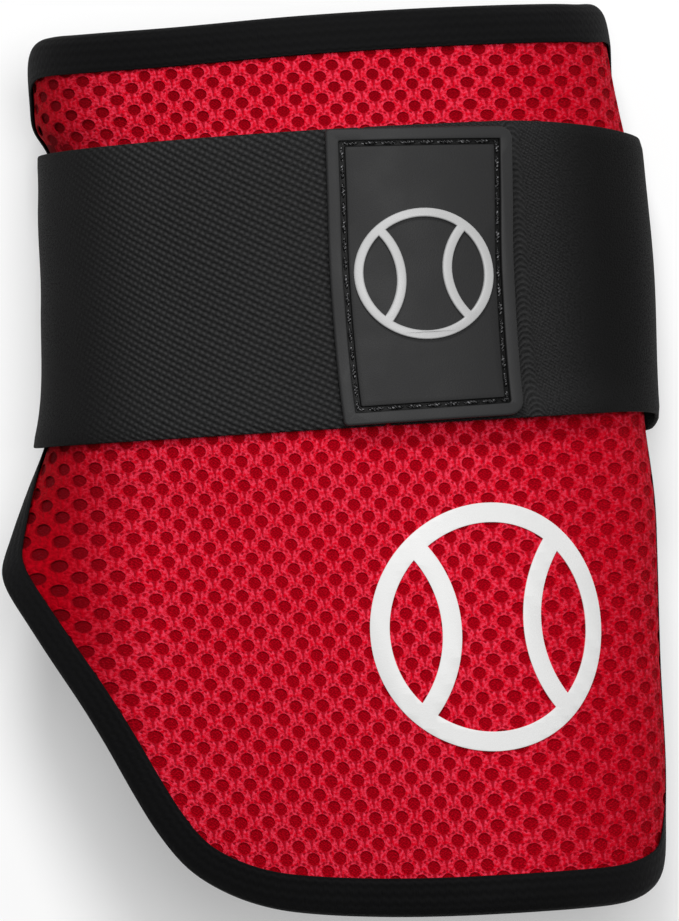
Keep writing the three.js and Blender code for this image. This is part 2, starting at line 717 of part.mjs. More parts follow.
// Ball: a ring with two curved seams, one piece. The three fields between them are open.
function emblemShape() {
  const rim = EMBLEM_RADIUS - EMBLEM_LINE;
  const seamX = EMBLEM_SEAM_REACH + EMBLEM_SEAM_RADIUS;
  const shape = new THREE.Shape(arcPoints(EMBLEM_RADIUS, 0, 0, Math.PI * 2, EMBLEM_RIM_STEPS).slice(1));
  const side = sideField(rim, seamX);
  const mirrored = side.map((point) => new THREE.Vector2(-point.x, point.y)).reverse();
  const middle = middleField(rim, seamX);
  shape.holes.push(new THREE.Path(side), new THREE.Path(mirrored), new THREE.Path(middle));
  return shape;
}

function tabEmblem() {
  const settings = { depth: EMBLEM_THICK, bevelEnabled: false, curveSegments: 1 };
  const geometry = new THREE.ExtrudeGeometry(emblemShape(), settings);
  const positions = geometry.getAttribute('position');
  const lift = TAB_THICK - TAB_FIELD_DROP + EMBLEM_GAP;
  for (let i = 0; i < positions.count; i += 1) {
    const s = TAB_MIDDLE[0] + positions.getX(i);
    const y = TAB_MIDDLE[1] + positions.getY(i);
    positions.setXYZ(i, ...place(s, y, tabBase(s) + lift + positions.getZ(i)));
  }
  geometry.computeVertexNormals();
  return meshOf('tab_emblem', EMBLEM_GREY, geometry);
}

function guard() {
  const loop = shellLoop();
  const group = new THREE.Group();
  group.name = 'elbow_guard';
  group.add(meshCover(loop), shellPad(loop), edgeBinding(loop));
  group.add(elasticStrap(loop), loopStrap(loop));
  group.add(hookPatch(), pullTab(), tabEmblem());
  for (const mesh of group.children) mesh.geometry.translate(CENTRE_SHIFT_X, 0, 0);
  return group;
}

export default guard();
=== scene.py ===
import math

import bpy
import numpy as np
from mathutils import Matrix


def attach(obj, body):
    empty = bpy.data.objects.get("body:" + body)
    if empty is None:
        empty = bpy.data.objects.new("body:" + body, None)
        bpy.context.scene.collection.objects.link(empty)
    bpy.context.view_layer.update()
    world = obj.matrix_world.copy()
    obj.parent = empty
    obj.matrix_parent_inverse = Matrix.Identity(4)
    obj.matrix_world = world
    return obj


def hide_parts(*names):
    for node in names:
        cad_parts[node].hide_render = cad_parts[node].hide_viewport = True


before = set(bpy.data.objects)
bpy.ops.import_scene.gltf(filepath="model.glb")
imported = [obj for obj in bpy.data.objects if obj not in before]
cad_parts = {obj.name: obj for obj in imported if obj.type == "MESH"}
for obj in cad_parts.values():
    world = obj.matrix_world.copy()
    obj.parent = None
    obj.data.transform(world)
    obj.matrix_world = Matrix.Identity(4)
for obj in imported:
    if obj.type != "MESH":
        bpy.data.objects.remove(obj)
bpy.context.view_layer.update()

bl_info = {
    "name": "Elbow Guard Dressing",
    "version": (1, 0, 0),
    "blender": (4, 5, 0),
    "location": "3D Viewport > Sidebar > Elbow Guard",
    "description": "Dresses a baseball elbow guard in air mesh, tape, elastic and rubber",
    "category": "Add Mesh",
}

# Lengths are millimetres until a piece is wrapped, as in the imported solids
MM = 0.001
HALF_LENGTH = 97.5
HALF_WIDTH = 68.5
HEIGHT = 77.0
HALF_GIRTH = 120.0
CENTRE_SHIFT = 1.5
SHOULDER = math.pi / 4
FLARE_RUN = 16.0
TUCK_RADIUS = 110.0
LOWER_RUN = 200.0
PAD_TOP = -1.9
PAD_THICK = 7.0
PAD_EDGE_THICK = 3.0
PAD_TAPER = 16.0
BINDING_WIDTH = 8.7
BINDING_TOP = 1.5
BINDING_GAP = 0.6
PANEL_INSET = 1.8
STRAP_GAP = 0.5
STRAP_THICK = 1.6
STRAP_WIDTH = 63.9
STRAP_LOW = 8.6
STRAP_MIDDLE = 40.0
STRAP_SLIP = 4.6
STRAP_LIFT_RUN = 6.0
STRAP_EASE = 20.0
STRAP_PAST_EDGE = 2.0
STRAP_CORNER = 20.0
STRAP_SEAM_X = 20.0
STRAP_SEAM_GAP = 0.4
FRONT_STEPS, LIFT_STEPS, EDGE_STEPS, CORNER_STEPS, FLOOR_STEPS = 11, 2, 3, 5, 3
TOP_STEPS = FRONT_STEPS + LIFT_STEPS + EDGE_STEPS
ALL_STEPS = TOP_STEPS + CORNER_STEPS + FLOOR_STEPS
LOOP_TOP_SLIP, LOOP_LOW_SLIP = (4, 13), (8, 19)
ELASTIC_SLIP = (TOP_STEPS + CORNER_STEPS, ALL_STEPS)
TAB_THICK = 2.5
TAB_BASE = (2.7, 5.0)
TAB_SPAN = (1.8, 40.1)
TAB_CORNERS = ((1.8, 72.4), (40.1, 71.0), (37.1, 9.3), (0.3, 9.0))
TAB_ROUNDS = (1.0, 2.8, 3.2, 1.0)
TAB_RIM = 2.6
TAB_GROOVE = 1.3
TAB_DEPTH = 0.85
EMBLEM_AT = (19.8, 40.4)
PRINT_AT = (31.5, -35.5)

# along, crown_x, crown_z, left, right, left_drop, right_drop, flare in degrees
SECTIONS = np.array((
    (-1.00, 0.34, 0.870, 1.414, 0.944, 0.97, 0.44, 0),
    (-0.75, 0.29, 0.930, 1.579, 0.982, 0.94, 0.47, 0),
    (-0.46, 0.20, 0.965, 1.497, 0.989, 0.90, 0.51, 0),
    (-0.22, 0.12, 0.970, 1.247, 1.002, 0.78, 0.56, 0),
    (-0.12, 0.08, 0.965, 1.104, 1.006, 0.79, 0.58, 5),
    (0.08, 0.03, 0.955, 0.922, 0.992, 0.64, 0.62, 5),
    (0.41, 0.00, 0.930, 0.862, 1.004, 0.61, 0.64, 0),
    (0.60, 0.00, 0.914, 0.856, 0.996, 0.61, 0.64, 0),
    (0.70, 0.00, 0.902, 0.848, 0.989, 0.61, 0.63, 4),
    (0.75, 0.00, 0.895, 0.852, 0.978, 0.60, 0.63, 5),
    (0.80, 0.00, 0.887, 0.892, 0.967, 0.60, 0.62, 7),
    (0.86, 0.00, 0.878, 0.897, 0.956, 0.60, 0.62, 9),
    (1.00, -0.01, 0.860, 0.899, 0.935, 0.60, 0.62, 12),
))
SECTION_NAMES = ("crown_x", "crown_z", "left", "right", "left_drop", "right_drop", "flare")

# across as a share of HALF_GIRTH, along as a share of HALF_LENGTH, 1 at the four corners
OUTLINE = np.array((
    (-0.700, 0.965, 1), (-0.610, 1.000, 0), (-0.500, 1.000, 0), (-0.250, 0.994, 0),
    (0.000, 0.999, 0), (0.330, 1.003, 0), (0.600, 1.005, 0), (0.715, 1.003, 0),
    (0.812, 0.945, 1), (0.865, 0.840, 0), (0.875, 0.700, 0), (0.880, 0.410, 0),
    (0.845, 0.080, 0), (0.775, -0.120, 0), (0.718, -0.300, 0), (0.672, -0.480, 0),
    (0.625, -0.690, 0), (0.590, -0.800, 0), (0.538, -0.882, 1), (0.480, -0.948, 0),
    (0.398, -0.982, 0), (0.305, -0.998, 0), (0.200, -0.998, 0), (0.060, -0.996, 0),
    (-0.108, -0.991, 0), (-0.285, -0.973, 0), (-0.380, -0.950, 0), (-0.427, -0.926, 0),
    (-0.502, -0.862, 0), (-0.554, -0.757, 0), (-0.603, -0.578, 0), (-0.649, -0.440, 0),
    (-0.689, -0.354, 0), (-0.718, -0.290, 0), (-0.760, -0.215, 1), (-0.785, -0.130, 0),
    (-0.788, -0.030, 0), (-0.828, 0.080, 0), (-0.808, 0.210, 0), (-0.800, 0.410, 0),
    (-0.798, 0.700, 0), (-0.760, 0.852, 0),
))
LOOP_COLS, LOOP_ROWS, SPLINE_STEPS = 20, 18, 16


# The curved form of the guard

def ramp(value, low, high):
    """0 up to low, 1 from high on, straight between."""
    return np.clip((np.asarray(value, float) - low) / (high - low), 0, 1)


def smooth(value, low, high):
    """Eases from 0 at low to 1 at high."""
    share = ramp(value, low, high)
    return share * share * (3 - 2 * share)


def section_values(along):
    """Each section value at the arm positions along, eased through the rows of SECTIONS."""
    stops = SECTIONS[:, 0] * HALF_LENGTH
    steps = np.diff(stops)
    slopes = np.diff(SECTIONS[:, 1:], axis=0) / steps[:, None]
    tangents = np.vstack([slopes[:1], (slopes[:-1] + slopes[1:]) / 2, slopes[-1:]])
    row = np.clip(np.searchsorted(stops, along, side="right") - 1, 0, len(steps) - 1)
    step = steps[row][:, None]
    t = np.clip((along[:, None] - stops[row][:, None]) / step, 0, 1)
    low, high = SECTIONS[row, 1:], SECTIONS[row + 1, 1:]
    values = (low * (2 * t**3 - 3 * t**2 + 1) + tangents[row] * step * (t**3 - 2 * t**2 + t)
              + high * (3 * t**2 - 2 * t**3) + tangents[row + 1] * step * (t**3 - t**2))
    return dict(zip(SECTION_NAMES, values.T))


def lifted(points, height):
    """The points with one more column, all of it height."""
    return np.column_stack([points, np.full(len(points), height)])


def crown_at(along):
    return section_values(np.asarray(along, float))["crown_x"] * HALF_WIDTH


def place(arc, along, lift):
    """Points in metres at arc length from the crown line, arm position and height over the cover."""
    arc, along, lift = (np.array(v, float).ravel() for v in np.broadcast_arrays(arc, along, lift))
    row = section_values(along)
    left = arc < 0
    side = np.where(left, -1.0, 1.0)
    crown = row["crown_x"] * HALF_WIDTH
    reach = np.where(left, row["left"], row["right"]) * HALF_WIDTH - side * crown
    drop = np.where(left, row["left_drop"], row["right_drop"]) * HEIGHT
    flare = np.where(left, np.radians(row["flare"]), 0.0)
    sin, cos = math.sin(SHOULDER), math.cos(SHOULDER)
    det = sin * cos - (1 - sin) * (1 - cos)
    crown_radius = (reach * cos - drop * (1 - sin)) / det
    side_radius = (drop * sin - reach * (1 - cos)) / det
    runs = (
        (crown_radius * SHOULDER, 1 / crown_radius),
        (side_radius * (math.pi / 2 - SHOULDER), 1 / side_radius),
        (np.full_like(arc, FLARE_RUN), 1 / TUCK_RADIUS - flare / FLARE_RUN),
        (np.full_like(arc, LOWER_RUN), np.zeros_like(arc)),
    )
    across, down, turn, rest = (np.zeros_like(arc) for _ in range(4))
    rest = np.abs(arc)
    for length, bend in runs:
        run = np.minimum(length, rest)
        after = turn + bend * run
        straight = np.abs(bend) < 1e-6
        safe = np.where(straight, 1.0, bend)
        across = across + np.where(straight, run * np.cos(turn), (np.sin(after) - np.sin(turn)) / safe)
        down = down + np.where(straight, run * np.sin(turn), (np.cos(turn) - np.cos(after)) / safe)
        turn, rest = after, rest - run
    x = crown + side * (across + lift * np.sin(turn)) + CENTRE_SHIFT
    z = row["crown_z"] * HEIGHT - down + lift * np.cos(turn)
    return np.column_stack([x, along, z]) * MM


def spline_samples(points, steps):
    """A closed centripetal spline through points, with steps samples to each stretch."""
    a, b, c, d = (np.roll(points, k, axis=0)[:, None] for k in (1, 0, -1, -2))
    ab, bc, cd = (np.sqrt(np.linalg.norm(q - p, axis=2, keepdims=True)) for p, q in ((a, b), (b, c), (c, d)))
    start = ((b - a) / ab - (c - a) / (ab + bc) + (c - b) / bc) * bc
    end = ((c - b) / bc - (d - b) / (bc + cd) + (d - c) / cd) * bc
    t = (np.arange(steps) / steps)[:, None]
    rows = b + start * t + (3 * (c - b) - 2 * start - end) * t**2 + (2 * (b - c) + start + end) * t**3
    return rows.reshape(-1, points.shape[1])


def run_along(line):
    """Length of line up to each of its points."""
    return np.concatenate([[0], np.cumsum(np.linalg.norm(np.diff(line, axis=0), axis=1))])


def points_along(line, goals):
    """Points of line at the lengths goals from its start."""
    run = run_along(line)
    return np.column_stack([np.interp(goals, run, line[:, k]) for k in range(2)])


def even_points(line, count):
    """count points at even steps along line, leaving out its last point."""
    return points_along(line, run_along(line)[-1] * np.arange(count) / count)


def shell_loop():
    """The shell's outline laid flat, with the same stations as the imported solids."""
    rows = OUTLINE[:, :2] * (HALF_GIRTH, HALF_LENGTH)
    fine = spline_samples(rows, SPLINE_STEPS)
    fine = np.vstack([fine, fine, fine[:1]])
    corners = np.flatnonzero(OUTLINE[:, 2]) * SPLINE_STEPS
    ends = list(corners[1:]) + [corners[0] + len(OUTLINE) * SPLINE_STEPS]
    sides = [even_points(fine[a:b + 1], LOOP_ROWS if i % 2 else LOOP_COLS)
             for i, (a, b) in enumerate(zip(corners, ends))]
    return np.vstack(sides)


def inset_loop(loop, inset):
    way = np.roll(loop, -1, axis=0) - np.roll(loop, 1, axis=0)
    way /= np.linalg.norm(way, axis=1)[:, None]
    return loop + np.column_stack([way[:, 1], -way[:, 0]]) * inset


def distance_to_loop(loop, points):
    start, step = loop, np.roll(loop, -1, axis=0) - loop
    best = np.full(len(points), 1e9)
    for a, s in zip(start, step):
        share = np.clip(((points - a) @ s) / (s @ s), 0, 1)
        best = np.minimum(best, np.linalg.norm(points - a - share[:, None] * s, axis=1))
    return best


def inside_loop(loop, points):
    inside = np.zeros(len(points), bool)
    for (x0, y0), (x1, y1) in zip(loop, np.roll(loop, -1, axis=0)):
        crosses = (y0 > points[:, 1]) != (y1 > points[:, 1])
        if crosses.any():
            at = x0 + (points[:, 1] - y0) * (x1 - x0) / ((y1 - y0) or 1e-9)
            inside ^= crosses & (points[:, 0] < at)
    return inside


def pad_thickness(loop, points):
    inner = smooth(distance_to_loop(loop, points), 0, PAD_TAPER)
    return PAD_EDGE_THICK + (PAD_THICK - PAD_EDGE_THICK) * inner


SHELL = shell_loop()


# Mesh helpers

def deselect():
    if bpy.context.mode != "OBJECT":
        bpy.ops.object.mode_set(mode="OBJECT")
    bpy.ops.object.select_all(action="DESELECT")


def pick(piece):
    """Makes the piece the only one selected, and the active one."""
    deselect()
    piece.select_set(True)
    bpy.context.view_layer.objects.active = piece


def points_of(piece):
    points = np.empty(len(piece.data.vertices) * 3)
    piece.data.vertices.foreach_get("co", points)
    return points.reshape(-1, 3)


def move_points(piece, points):
    piece.data.vertices.foreach_set("co", np.asarray(points, float).ravel())
    piece.data.update()


def write_uv(piece, uv, name="flat"):
    """Keeps two values for each vertex as a UV map of the piece."""
    layer = piece.data.uv_layers.get(name) or piece.data.uv_layers.new(name=name)
    corner = np.empty(len(piece.data.loops), np.int32)
    piece.data.loops.foreach_get("vertex_index", corner)
    layer.data.foreach_set("uv", np.asarray(uv, float)[corner].ravel())


def edit(piece, *steps):
    """Runs edit-mode steps on everything in the piece."""
    pick(piece)
    bpy.ops.object.mode_set(mode="EDIT")
    bpy.ops.mesh.select_all(action="SELECT")
    for step in steps:
        step()
    bpy.ops.object.mode_set(mode="OBJECT")


def face_outwards():
    bpy.ops.mesh.select_all(action="SELECT")
    bpy.ops.mesh.normals_make_consistent(inside=False)


def merge(distance):
    """An edit step that joins points closer than distance."""
    return lambda: bpy.ops.mesh.remove_doubles(threshold=distance)


def cuts(points, cell):
    """An edit step that cuts the flat piece into cells of the given size."""
    low, high = points.min(0), points.max(0)

    def cut():
        for axis in (0, 1):
            normal = (1, 0, 0) if axis == 0 else (0, 1, 0)
            count = max(2, int(round((high[axis] - low[axis]) / cell)))
            for at in np.linspace(low[axis], high[axis], count + 1)[1:-1]:
                bpy.ops.mesh.select_all(action="SELECT")
                middle = [0.0, 0.0, 0.0]
                middle[axis] = float(at)
                bpy.ops.mesh.bisect(plane_co=middle, plane_no=normal, threshold=1e-4)
    return cut


def thicken():
    bpy.ops.mesh.select_all(action="SELECT")
    bpy.ops.mesh.extrude_region_move(TRANSFORM_OT_translate={"value": (0, 0, -1)})


def flat_piece(name, loop, cell, solid=True):
    """A flat piece cut to loop and into cells, one unit deep if solid."""
    deselect()
    bpy.ops.mesh.primitive_circle_add(vertices=len(loop), radius=1, fill_type="NGON")
    piece = bpy.context.object
    piece.name = piece.data.name = name
    move_points(piece, lifted(loop, 0))
    edit(piece, cuts(loop, cell), *([thicken] if solid else []), face_outwards)
    return piece


def apply(piece, kind, **settings):
    pick(piece)
    modifier = piece.modifiers.new(kind.title(), kind)
    for name, value in settings.items():
        setattr(modifier, name, value)
    bpy.ops.object.modifier_apply(modifier=modifier.name)


def shade(piece, angle=None):
    pick(piece)
    if angle is None:
        bpy.ops.object.shade_smooth()
    else:
        bpy.ops.object.shade_smooth_by_angle(angle=math.radians(angle))


def wrap(piece, height):
    """Bends a flat piece round the guard; height gives the lift of each flat point."""
    flat = points_of(piece)
    write_uv(piece, np.column_stack([flat[:, 0] + crown_at(flat[:, 1]), flat[:, 1]]) * MM)
    move_points(piece, place(flat[:, 0], flat[:, 1], height(flat)))


def ring_stack(name, rings, capped=True):
    """A circle extruded once for each further ring of points, and capped at both ends."""
    count = len(rings[0])
    deselect()
    bpy.ops.mesh.primitive_circle_add(vertices=count, radius=1, fill_type="NOTHING")
    piece = bpy.context.object
    piece.name = piece.data.name = name
    edit(piece, *[lambda: bpy.ops.mesh.extrude_region_move(TRANSFORM_OT_translate={"value": (0, 0, -1)})]
         * (len(rings) - 1))
    points = points_of(piece)
    level = np.rint(-points[:, 2]).astype(int)
    order = np.rint(np.arctan2(points[:, 1], points[:, 0]) / (2 * math.pi / count)).astype(int) % count
    move_points(piece, np.array([rings[ring][at] for ring, at in zip(level, order)]))
    if capped:
        for end in (0, len(rings) - 1):
            fill_ring(piece, level == end)
    return piece


def fill_ring(piece, chosen):
    pick(piece)
    bpy.ops.object.mode_set(mode="EDIT")
    bpy.ops.mesh.select_all(action="DESELECT")
    bpy.ops.object.mode_set(mode="OBJECT")
    for i in np.flatnonzero(chosen):
        piece.data.vertices[int(i)].select = True
    bpy.ops.object.mode_set(mode="EDIT")
    bpy.ops.mesh.edge_face_add()
    bpy.ops.object.mode_set(mode="OBJECT")


def wear(piece, material, slot, *nodes):
    piece.data.materials.clear()
    piece.data.materials.append(material)
    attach(piece, "root")
    if nodes:
        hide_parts(*nodes)


def mesh_piece(name, points, faces):
    mesh = bpy.data.meshes.new(name)
    mesh.from_pydata(points.tolist(), [], [list(face) for face in faces])
    mesh.update()
    piece = bpy.data.objects.new(name, mesh)
    bpy.context.scene.collection.objects.link(piece)
    return piece


# Shader maths

class Wire:
    """A shader value that takes Python's operators."""

    def __init__(self, finish, socket):
        self.finish, self.socket = finish, socket

    def maths(self, operation, *others):
        return self.finish.node("ShaderNodeMath", {"operation": operation},
                                {i: v for i, v in enumerate((self, *others))})

    def __add__(self, other): return self.maths("ADD", other)
    def __radd__(self, other): return self.maths("ADD", other)
    def __sub__(self, other): return self.maths("SUBTRACT", other)
    def __rsub__(self, other): return (self * -1) + other
    def __mul__(self, other): return self.maths("MULTIPLY", other)
    def __rmul__(self, other): return self.maths("MULTIPLY", other)
    def __truediv__(self, other): return self.maths("DIVIDE", other)
    def __pow__(self, other): return self.maths("POWER", other)
    def sin(self): return self.maths("SINE")
    def cos(self): return self.maths("COSINE")
    def root(self): return self.maths("SQRT")
    def size(self): return self.maths("ABSOLUTE")
    def least(self, other): return self.maths("MINIMUM", other)
    def most(self, other): return self.maths("MAXIMUM", other)
    def around(self): return (self + 0.5).maths("FRACT") - 0.5
    def clamped(self): return self.least(1.0).most(0.0)

    def ease(self, low, high, out_low=0.0, out_high=1.0):
        """Smoothly from out_low at low to out_high at high."""
        return self.finish.node("ShaderNodeMapRange", {"interpolation_type": "SMOOTHSTEP"},
                                {0: self, 1: low, 2: high, 3: out_low, 4: out_high})


class Finish:
    """A material under construction."""

    def __init__(self, name, roughness, **constants):
        self.material = bpy.data.materials.new(name)
        self.material.use_nodes = True
        self.tree = self.material.node_tree
        self.shader = self.tree.nodes["Principled BSDF"]
        self.feed(self.shader.inputs["Roughness"], roughness)
        for socket, value in constants.items():
            self.shader.inputs[socket.replace("_", " ")].default_value = value

    def feed(self, socket, value):
        if isinstance(value, Wire):
            self.tree.links.new(value.socket, socket)
        elif hasattr(value, "__len__") and len(value) == 3 and socket.type == "RGBA":
            socket.default_value = (*value, 1)
        else:
            socket.default_value = value

    def node(self, kind, settings=None, sockets=None, out=0):
        made = self.tree.nodes.new(kind)
        for name, value in (settings or {}).items():
            setattr(made, name, value)
        for name, value in (sockets or {}).items():
            self.feed(made.inputs[name], value)
        return Wire(self, made.outputs[out])

    def place(self):
        """Object coordinates in metres."""
        return self.node("ShaderNodeTexCoord", out="Object")

    def flat(self, name="flat"):
        """A UV map's two coordinates."""
        uv = self.node("ShaderNodeUVMap", {"uv_map": name})
        parts = self.node("ShaderNodeSeparateXYZ", None, {0: uv})
        return parts, Wire(self, parts.socket.node.outputs[1])

    def axis(self, number):
        """One object coordinate in metres: 0 for x, 1 for y."""
        return self.node("ShaderNodeSeparateXYZ", None, {0: self.place()}, out=number)

    def noise(self, vector, scale, detail=2.0, roughness=0.5):
        return self.node("ShaderNodeTexNoise", None, {
            "Vector": vector, "Scale": scale, "Detail": detail, "Roughness": roughness})

    def grain(self, u, v, detail=2.0, roughness=0.5):
        """Noise over two given coordinates."""
        flat = self.node("ShaderNodeCombineXYZ", None, {0: u, 1: v})
        return self.noise(flat, 1.0, detail, roughness)

    def mix(self, factor, first, second):
        return self.node("ShaderNodeMix", {"data_type": "RGBA"}, {0: factor, 6: first, 7: second}, out=2)

    def shades(self, factor, colour, low, high):
        """From low times the colour to high times the colour."""
        return self.mix(factor, tint(colour, low), tint(colour, high))

    def bump(self, height, distance, strength=1.0, under=None):
        sockets = {"Height": height, "Distance": distance, "Strength": strength}
        if under is not None:
            sockets["Normal"] = under
        return self.node("ShaderNodeBump", None, sockets)

    def done(self, colour, normal=None, roughness=None):
        self.feed(self.shader.inputs["Base Color"], colour)
        if normal is not None:
            self.feed(self.shader.inputs["Normal"], normal)
        if roughness is not None:
            self.feed(self.shader.inputs["Roughness"], roughness)
        return self.material


def tint(colour, share):
    return tuple(share * c for c in colour)


def settings():
    return bpy.context.scene.elbow_guard


# Finishes

# Half width and half length of a hole, as shares of the hole spacing
HOLE_ACROSS, HOLE_ALONG = 0.240, 0.250
BRAID_PITCH = 0.0013
# Near black of the painted shade where the straps turn round the sides
PAINTED_SIDE_SHADE = (0.001, 0.001, 0.001)


def hole_maths(finish):
    """Offsets from the nearest hole of the air mesh, and the distance in hole radii."""
    u, v = finish.flat()
    width = finish.flat("local")[0]
    first = (u.around(), v.around())
    second = ((u + 0.5).around(), (v + 0.5).around())

    def far(offset):
        return (offset[0] / (width * HOLE_ACROSS)) ** 2 + (offset[1] / HOLE_ALONG) ** 2
    near_second = far(second).maths("LESS_THAN", far(first))
    a = first[0] + (second[0] - first[0]) * near_second
    b = first[1] + (second[1] - first[1]) * near_second
    return u, v, a / width, b, far(first).least(far(second)).root()


def flanks(finish):
    """1 on the smoother left flank, 0 elsewhere; and the same for the right flank."""
    x = finish.axis(0)
    return x.ease(-0.062, -0.037, 1.0, 0.0), x.ease(0.028, 0.062)


def spot(across, along, radius):
    """1 on a small dark opening between the loops, fading to 0 around it."""
    return 1 - ((across / radius) ** 2 + (along / radius) ** 2).ease(0.3, 1.7)


def net_finish():
    """Looped strands round each hole: small dark openings, a slit at each end, smoother on the flanks;
    painted shade darkens the hole rims, the right flank and, in part, the left flank.
    """
    chosen = settings().cover
    finish = Finish("red_air_mesh", 0.85, Specular_IOR_Level=0.02)
    u, v, a, b, r = hole_maths(finish)
    flank, right = flanks(finish)
    grain = finish.grain(u * 10.0, v * 8.0, 3.0, 0.6)
    patches = finish.grain(u * 0.35, v * 0.35)
    side = a.size()
    eyelets = spot(side - 0.145, b - 0.344, 0.074).most(spot(side - 0.210, b + 0.275, 0.068))
    taper = b.ease(-0.40, -0.22, 0.043, 0.10) - b.ease(-0.1, 0.1, 0.0, 0.062)
    ends = b.ease(-0.24, -0.20, 1.0, 0.0).most(b.ease(0.34, 0.38) * 0.7)
    slit = (1 - (side / taper).ease(0.5, 1.3)) * ends
    bundle = (1 - (side - 0.14).size().ease(0.03, 0.09)) * b.size().ease(0.24, 0.32)
    # Painted shade round each hole's rim, where the strands slope down into it
    rim_shade = r.ease(0.96, 1.18, 1.0, 0.0)
    # The knit's openings and slits, together with the painted shade at the hole rims
    dark = (eyelets * 0.95).most(slit * 0.85).most(rim_shade * 0.5) * (grain * 0.9 + 0.5).least(1.0)
    tone = grain.ease(0.37, 0.65) * 0.9 + bundle * 0.35 + patches * 0.4
    # Painted shade: the strands lose their pink toward the right flank
    tone = (tone - right * 0.15 - 0.25).clamped()
    net = finish.mix(tone, chosen.mesh_colour, chosen.strand_colour)
    net = finish.mix(dark, net, chosen.hole_colour)
    # Painted shade: the net darkens toward the right flank
    net = finish.mix(right * 0.4, net, chosen.hole_colour)
    # The left flank is smoother, deeper red knit, darkened further by painted shade
    plain = finish.mix(grain.ease(0.2, 0.8, 0.0, 0.5), chosen.flank_colour_with_shade, chosen.mesh_colour)
    # Painted shade round the hole rims on the left flank, with the small openings
    plain = finish.mix((rim_shade * 0.7).most(eyelets * 0.2), plain, tint(chosen.hole_colour, 0.3))
    height = tone * 0.6 + grain * 0.3 - dark
    return finish.done(finish.mix(flank, net, plain), finish.bump(height, 0.0003, 0.6))


def backing_finish():
    """Fine knit, with painted shade toward the upper-arm end, and greyer and darker behind the left flank,
    partly painted shade.
    """
    hole = settings().cover.hole_colour
    mesh = settings().cover.mesh_colour
    finish = Finish("red_mesh_backing", 0.85, Specular_IOR_Level=0.02)
    u, v = finish.flat()
    fleck = finish.grain(u * 14.0, v * 14.0, 3.0, 0.7)
    knit = (u * 44.0 + (v * 40.0).sin() * 0.8).sin() * (v * 48.0).sin() * 0.5 + 0.5
    tone = (fleck.ease(0.38, 0.75) * 0.8 + knit * 0.35 - 0.12).clamped()
    deep = finish.mix(tone, tint(hole, 0.7), mesh)
    # Painted shade: the knit darkens toward the upper-arm end
    deep = finish.mix(finish.axis(1).ease(0.060, 0.082, 0.0, 0.3), deep, tint(hole, 0.175))
    # Greyer knit behind the left flank, darkened in part by painted shade
    grey = finish.mix(fleck.ease(0.45, 0.8), tint(hole, 0.45), (0.17, 0.006, 0.012))
    return finish.done(finish.mix(flanks(finish)[0], deep, grey), finish.bump(tone, 0.0003, 0.6))


def tape_finish():
    finish = Finish("binding_tape", 0.75, Specular_IOR_Level=0.06)
    u, v = finish.flat()
    rows = (u * 5200.0 + (v * 2600.0).sin() * 0.7).sin()
    grain = finish.grain(u * 900.0, v * 2600.0, 3.0, 0.6)
    puckers = finish.grain(u * 190.0, v * 40.0)
    tone = (grain * 0.75 + rows * 0.08 + puckers * 0.3 - 0.1).clamped()
    colour = finish.shades(tone, settings().binding.colour, 0.45, 1.7)
    fine = finish.bump(rows * 0.35 + grain, 0.0002, 0.6)
    return finish.done(colour, finish.bump(puckers, 0.0009, 0.5, fine), grain.ease(0.2, 0.8, 0.65, 0.82))


def strap_finish(name, colour, pitch, depth, side, turn_from, braid=None):
    """Diagonal weave of beads; pitch in metres. It goes plain round the side, -1 left or 1 right, and painted
    shade darkens it there.

    braid is where a narrow braided seam crosses the strap, on the flat map.
    """
    finish = Finish(name, 0.8, Specular_IOR_Level=0.05)
    u, v = finish.flat()
    turn = 2 * math.pi / pitch
    wobble = finish.grain(u * 260.0, v * 260.0)
    ribs = ((v + u * 0.55) * turn + wobble * 1.0).sin() * 0.5 + 0.5
    beads = ((u - v * 0.55) * turn + wobble * 1.5).sin() * 0.5 + 0.5
    fuzz = finish.grain(u * 1500.0, v * 2100.0, 3.0, 0.75).ease(0.36, 0.70)
    outwards = finish.axis(0) * side
    weave = (ribs * 0.35 + ribs * beads * 0.75) * depth * outwards.ease(turn_from, 0.060, 1.0, 0.0)
    drift = finish.grain(u * 28.0, v * 28.0)
    tone = (weave + fuzz * 0.4 + drift * 0.15 - 0.12).clamped()
    if braid:
        off = (u - braid).size()
        seam = 1 - off.ease(0.0016, 0.0026)
        plait = ((v + off * off * 330.0) * (2 * math.pi / BRAID_PITCH) + wobble * 4.0).sin() * 0.5 + 0.5
        tone = tone * (1 - seam) + seam * (plait * 0.3 + fuzz * 0.35)
        weave = weave * (1 - seam) + seam * plait * 0.9
    tinted = finish.shades(tone, colour, 0.4, 2.0)
    # Painted shade: the strap darkens as it turns round the side
    tinted = finish.mix(outwards.ease(turn_from, 0.070, 0.0, 0.88), tinted, PAINTED_SIDE_SHADE)
    return finish.done(tinted, finish.bump(weave + fuzz * 0.25, 0.0004, 0.8), fuzz.ease(0.3, 0.7, 0.62, 0.82))


def rubber_finish():
    """Matt grain, with a painted highlight making the rim's top a touch paler and painted shade, near black,
    down in the groove.
    """
    base = settings().tab.colour
    finish = Finish("tab_rubber", 0.55, Specular_IOR_Level=0.15)
    level = finish.flat("local")[0]
    grain = finish.noise(finish.place(), 3400.0, 2.0, 0.6)
    drift = finish.noise(finish.place(), 90.0)
    colour = finish.shades((grain * 0.6 + drift * 0.25).least(1.0), base, 0.8, 1.25)
    # Painted highlight: the rim's top a touch paler
    colour = finish.mix(level.ease(0.965, 0.995), colour, tint(base, 1.35))
    # Painted shade: near black down in the groove
    colour = finish.mix(level.ease(0.74, 0.90), (0.003, 0.003, 0.003), colour)
    return finish.done(colour, finish.bump(grain, 0.00008, 0.6), drift.ease(0.3, 0.7, 0.48, 0.58))


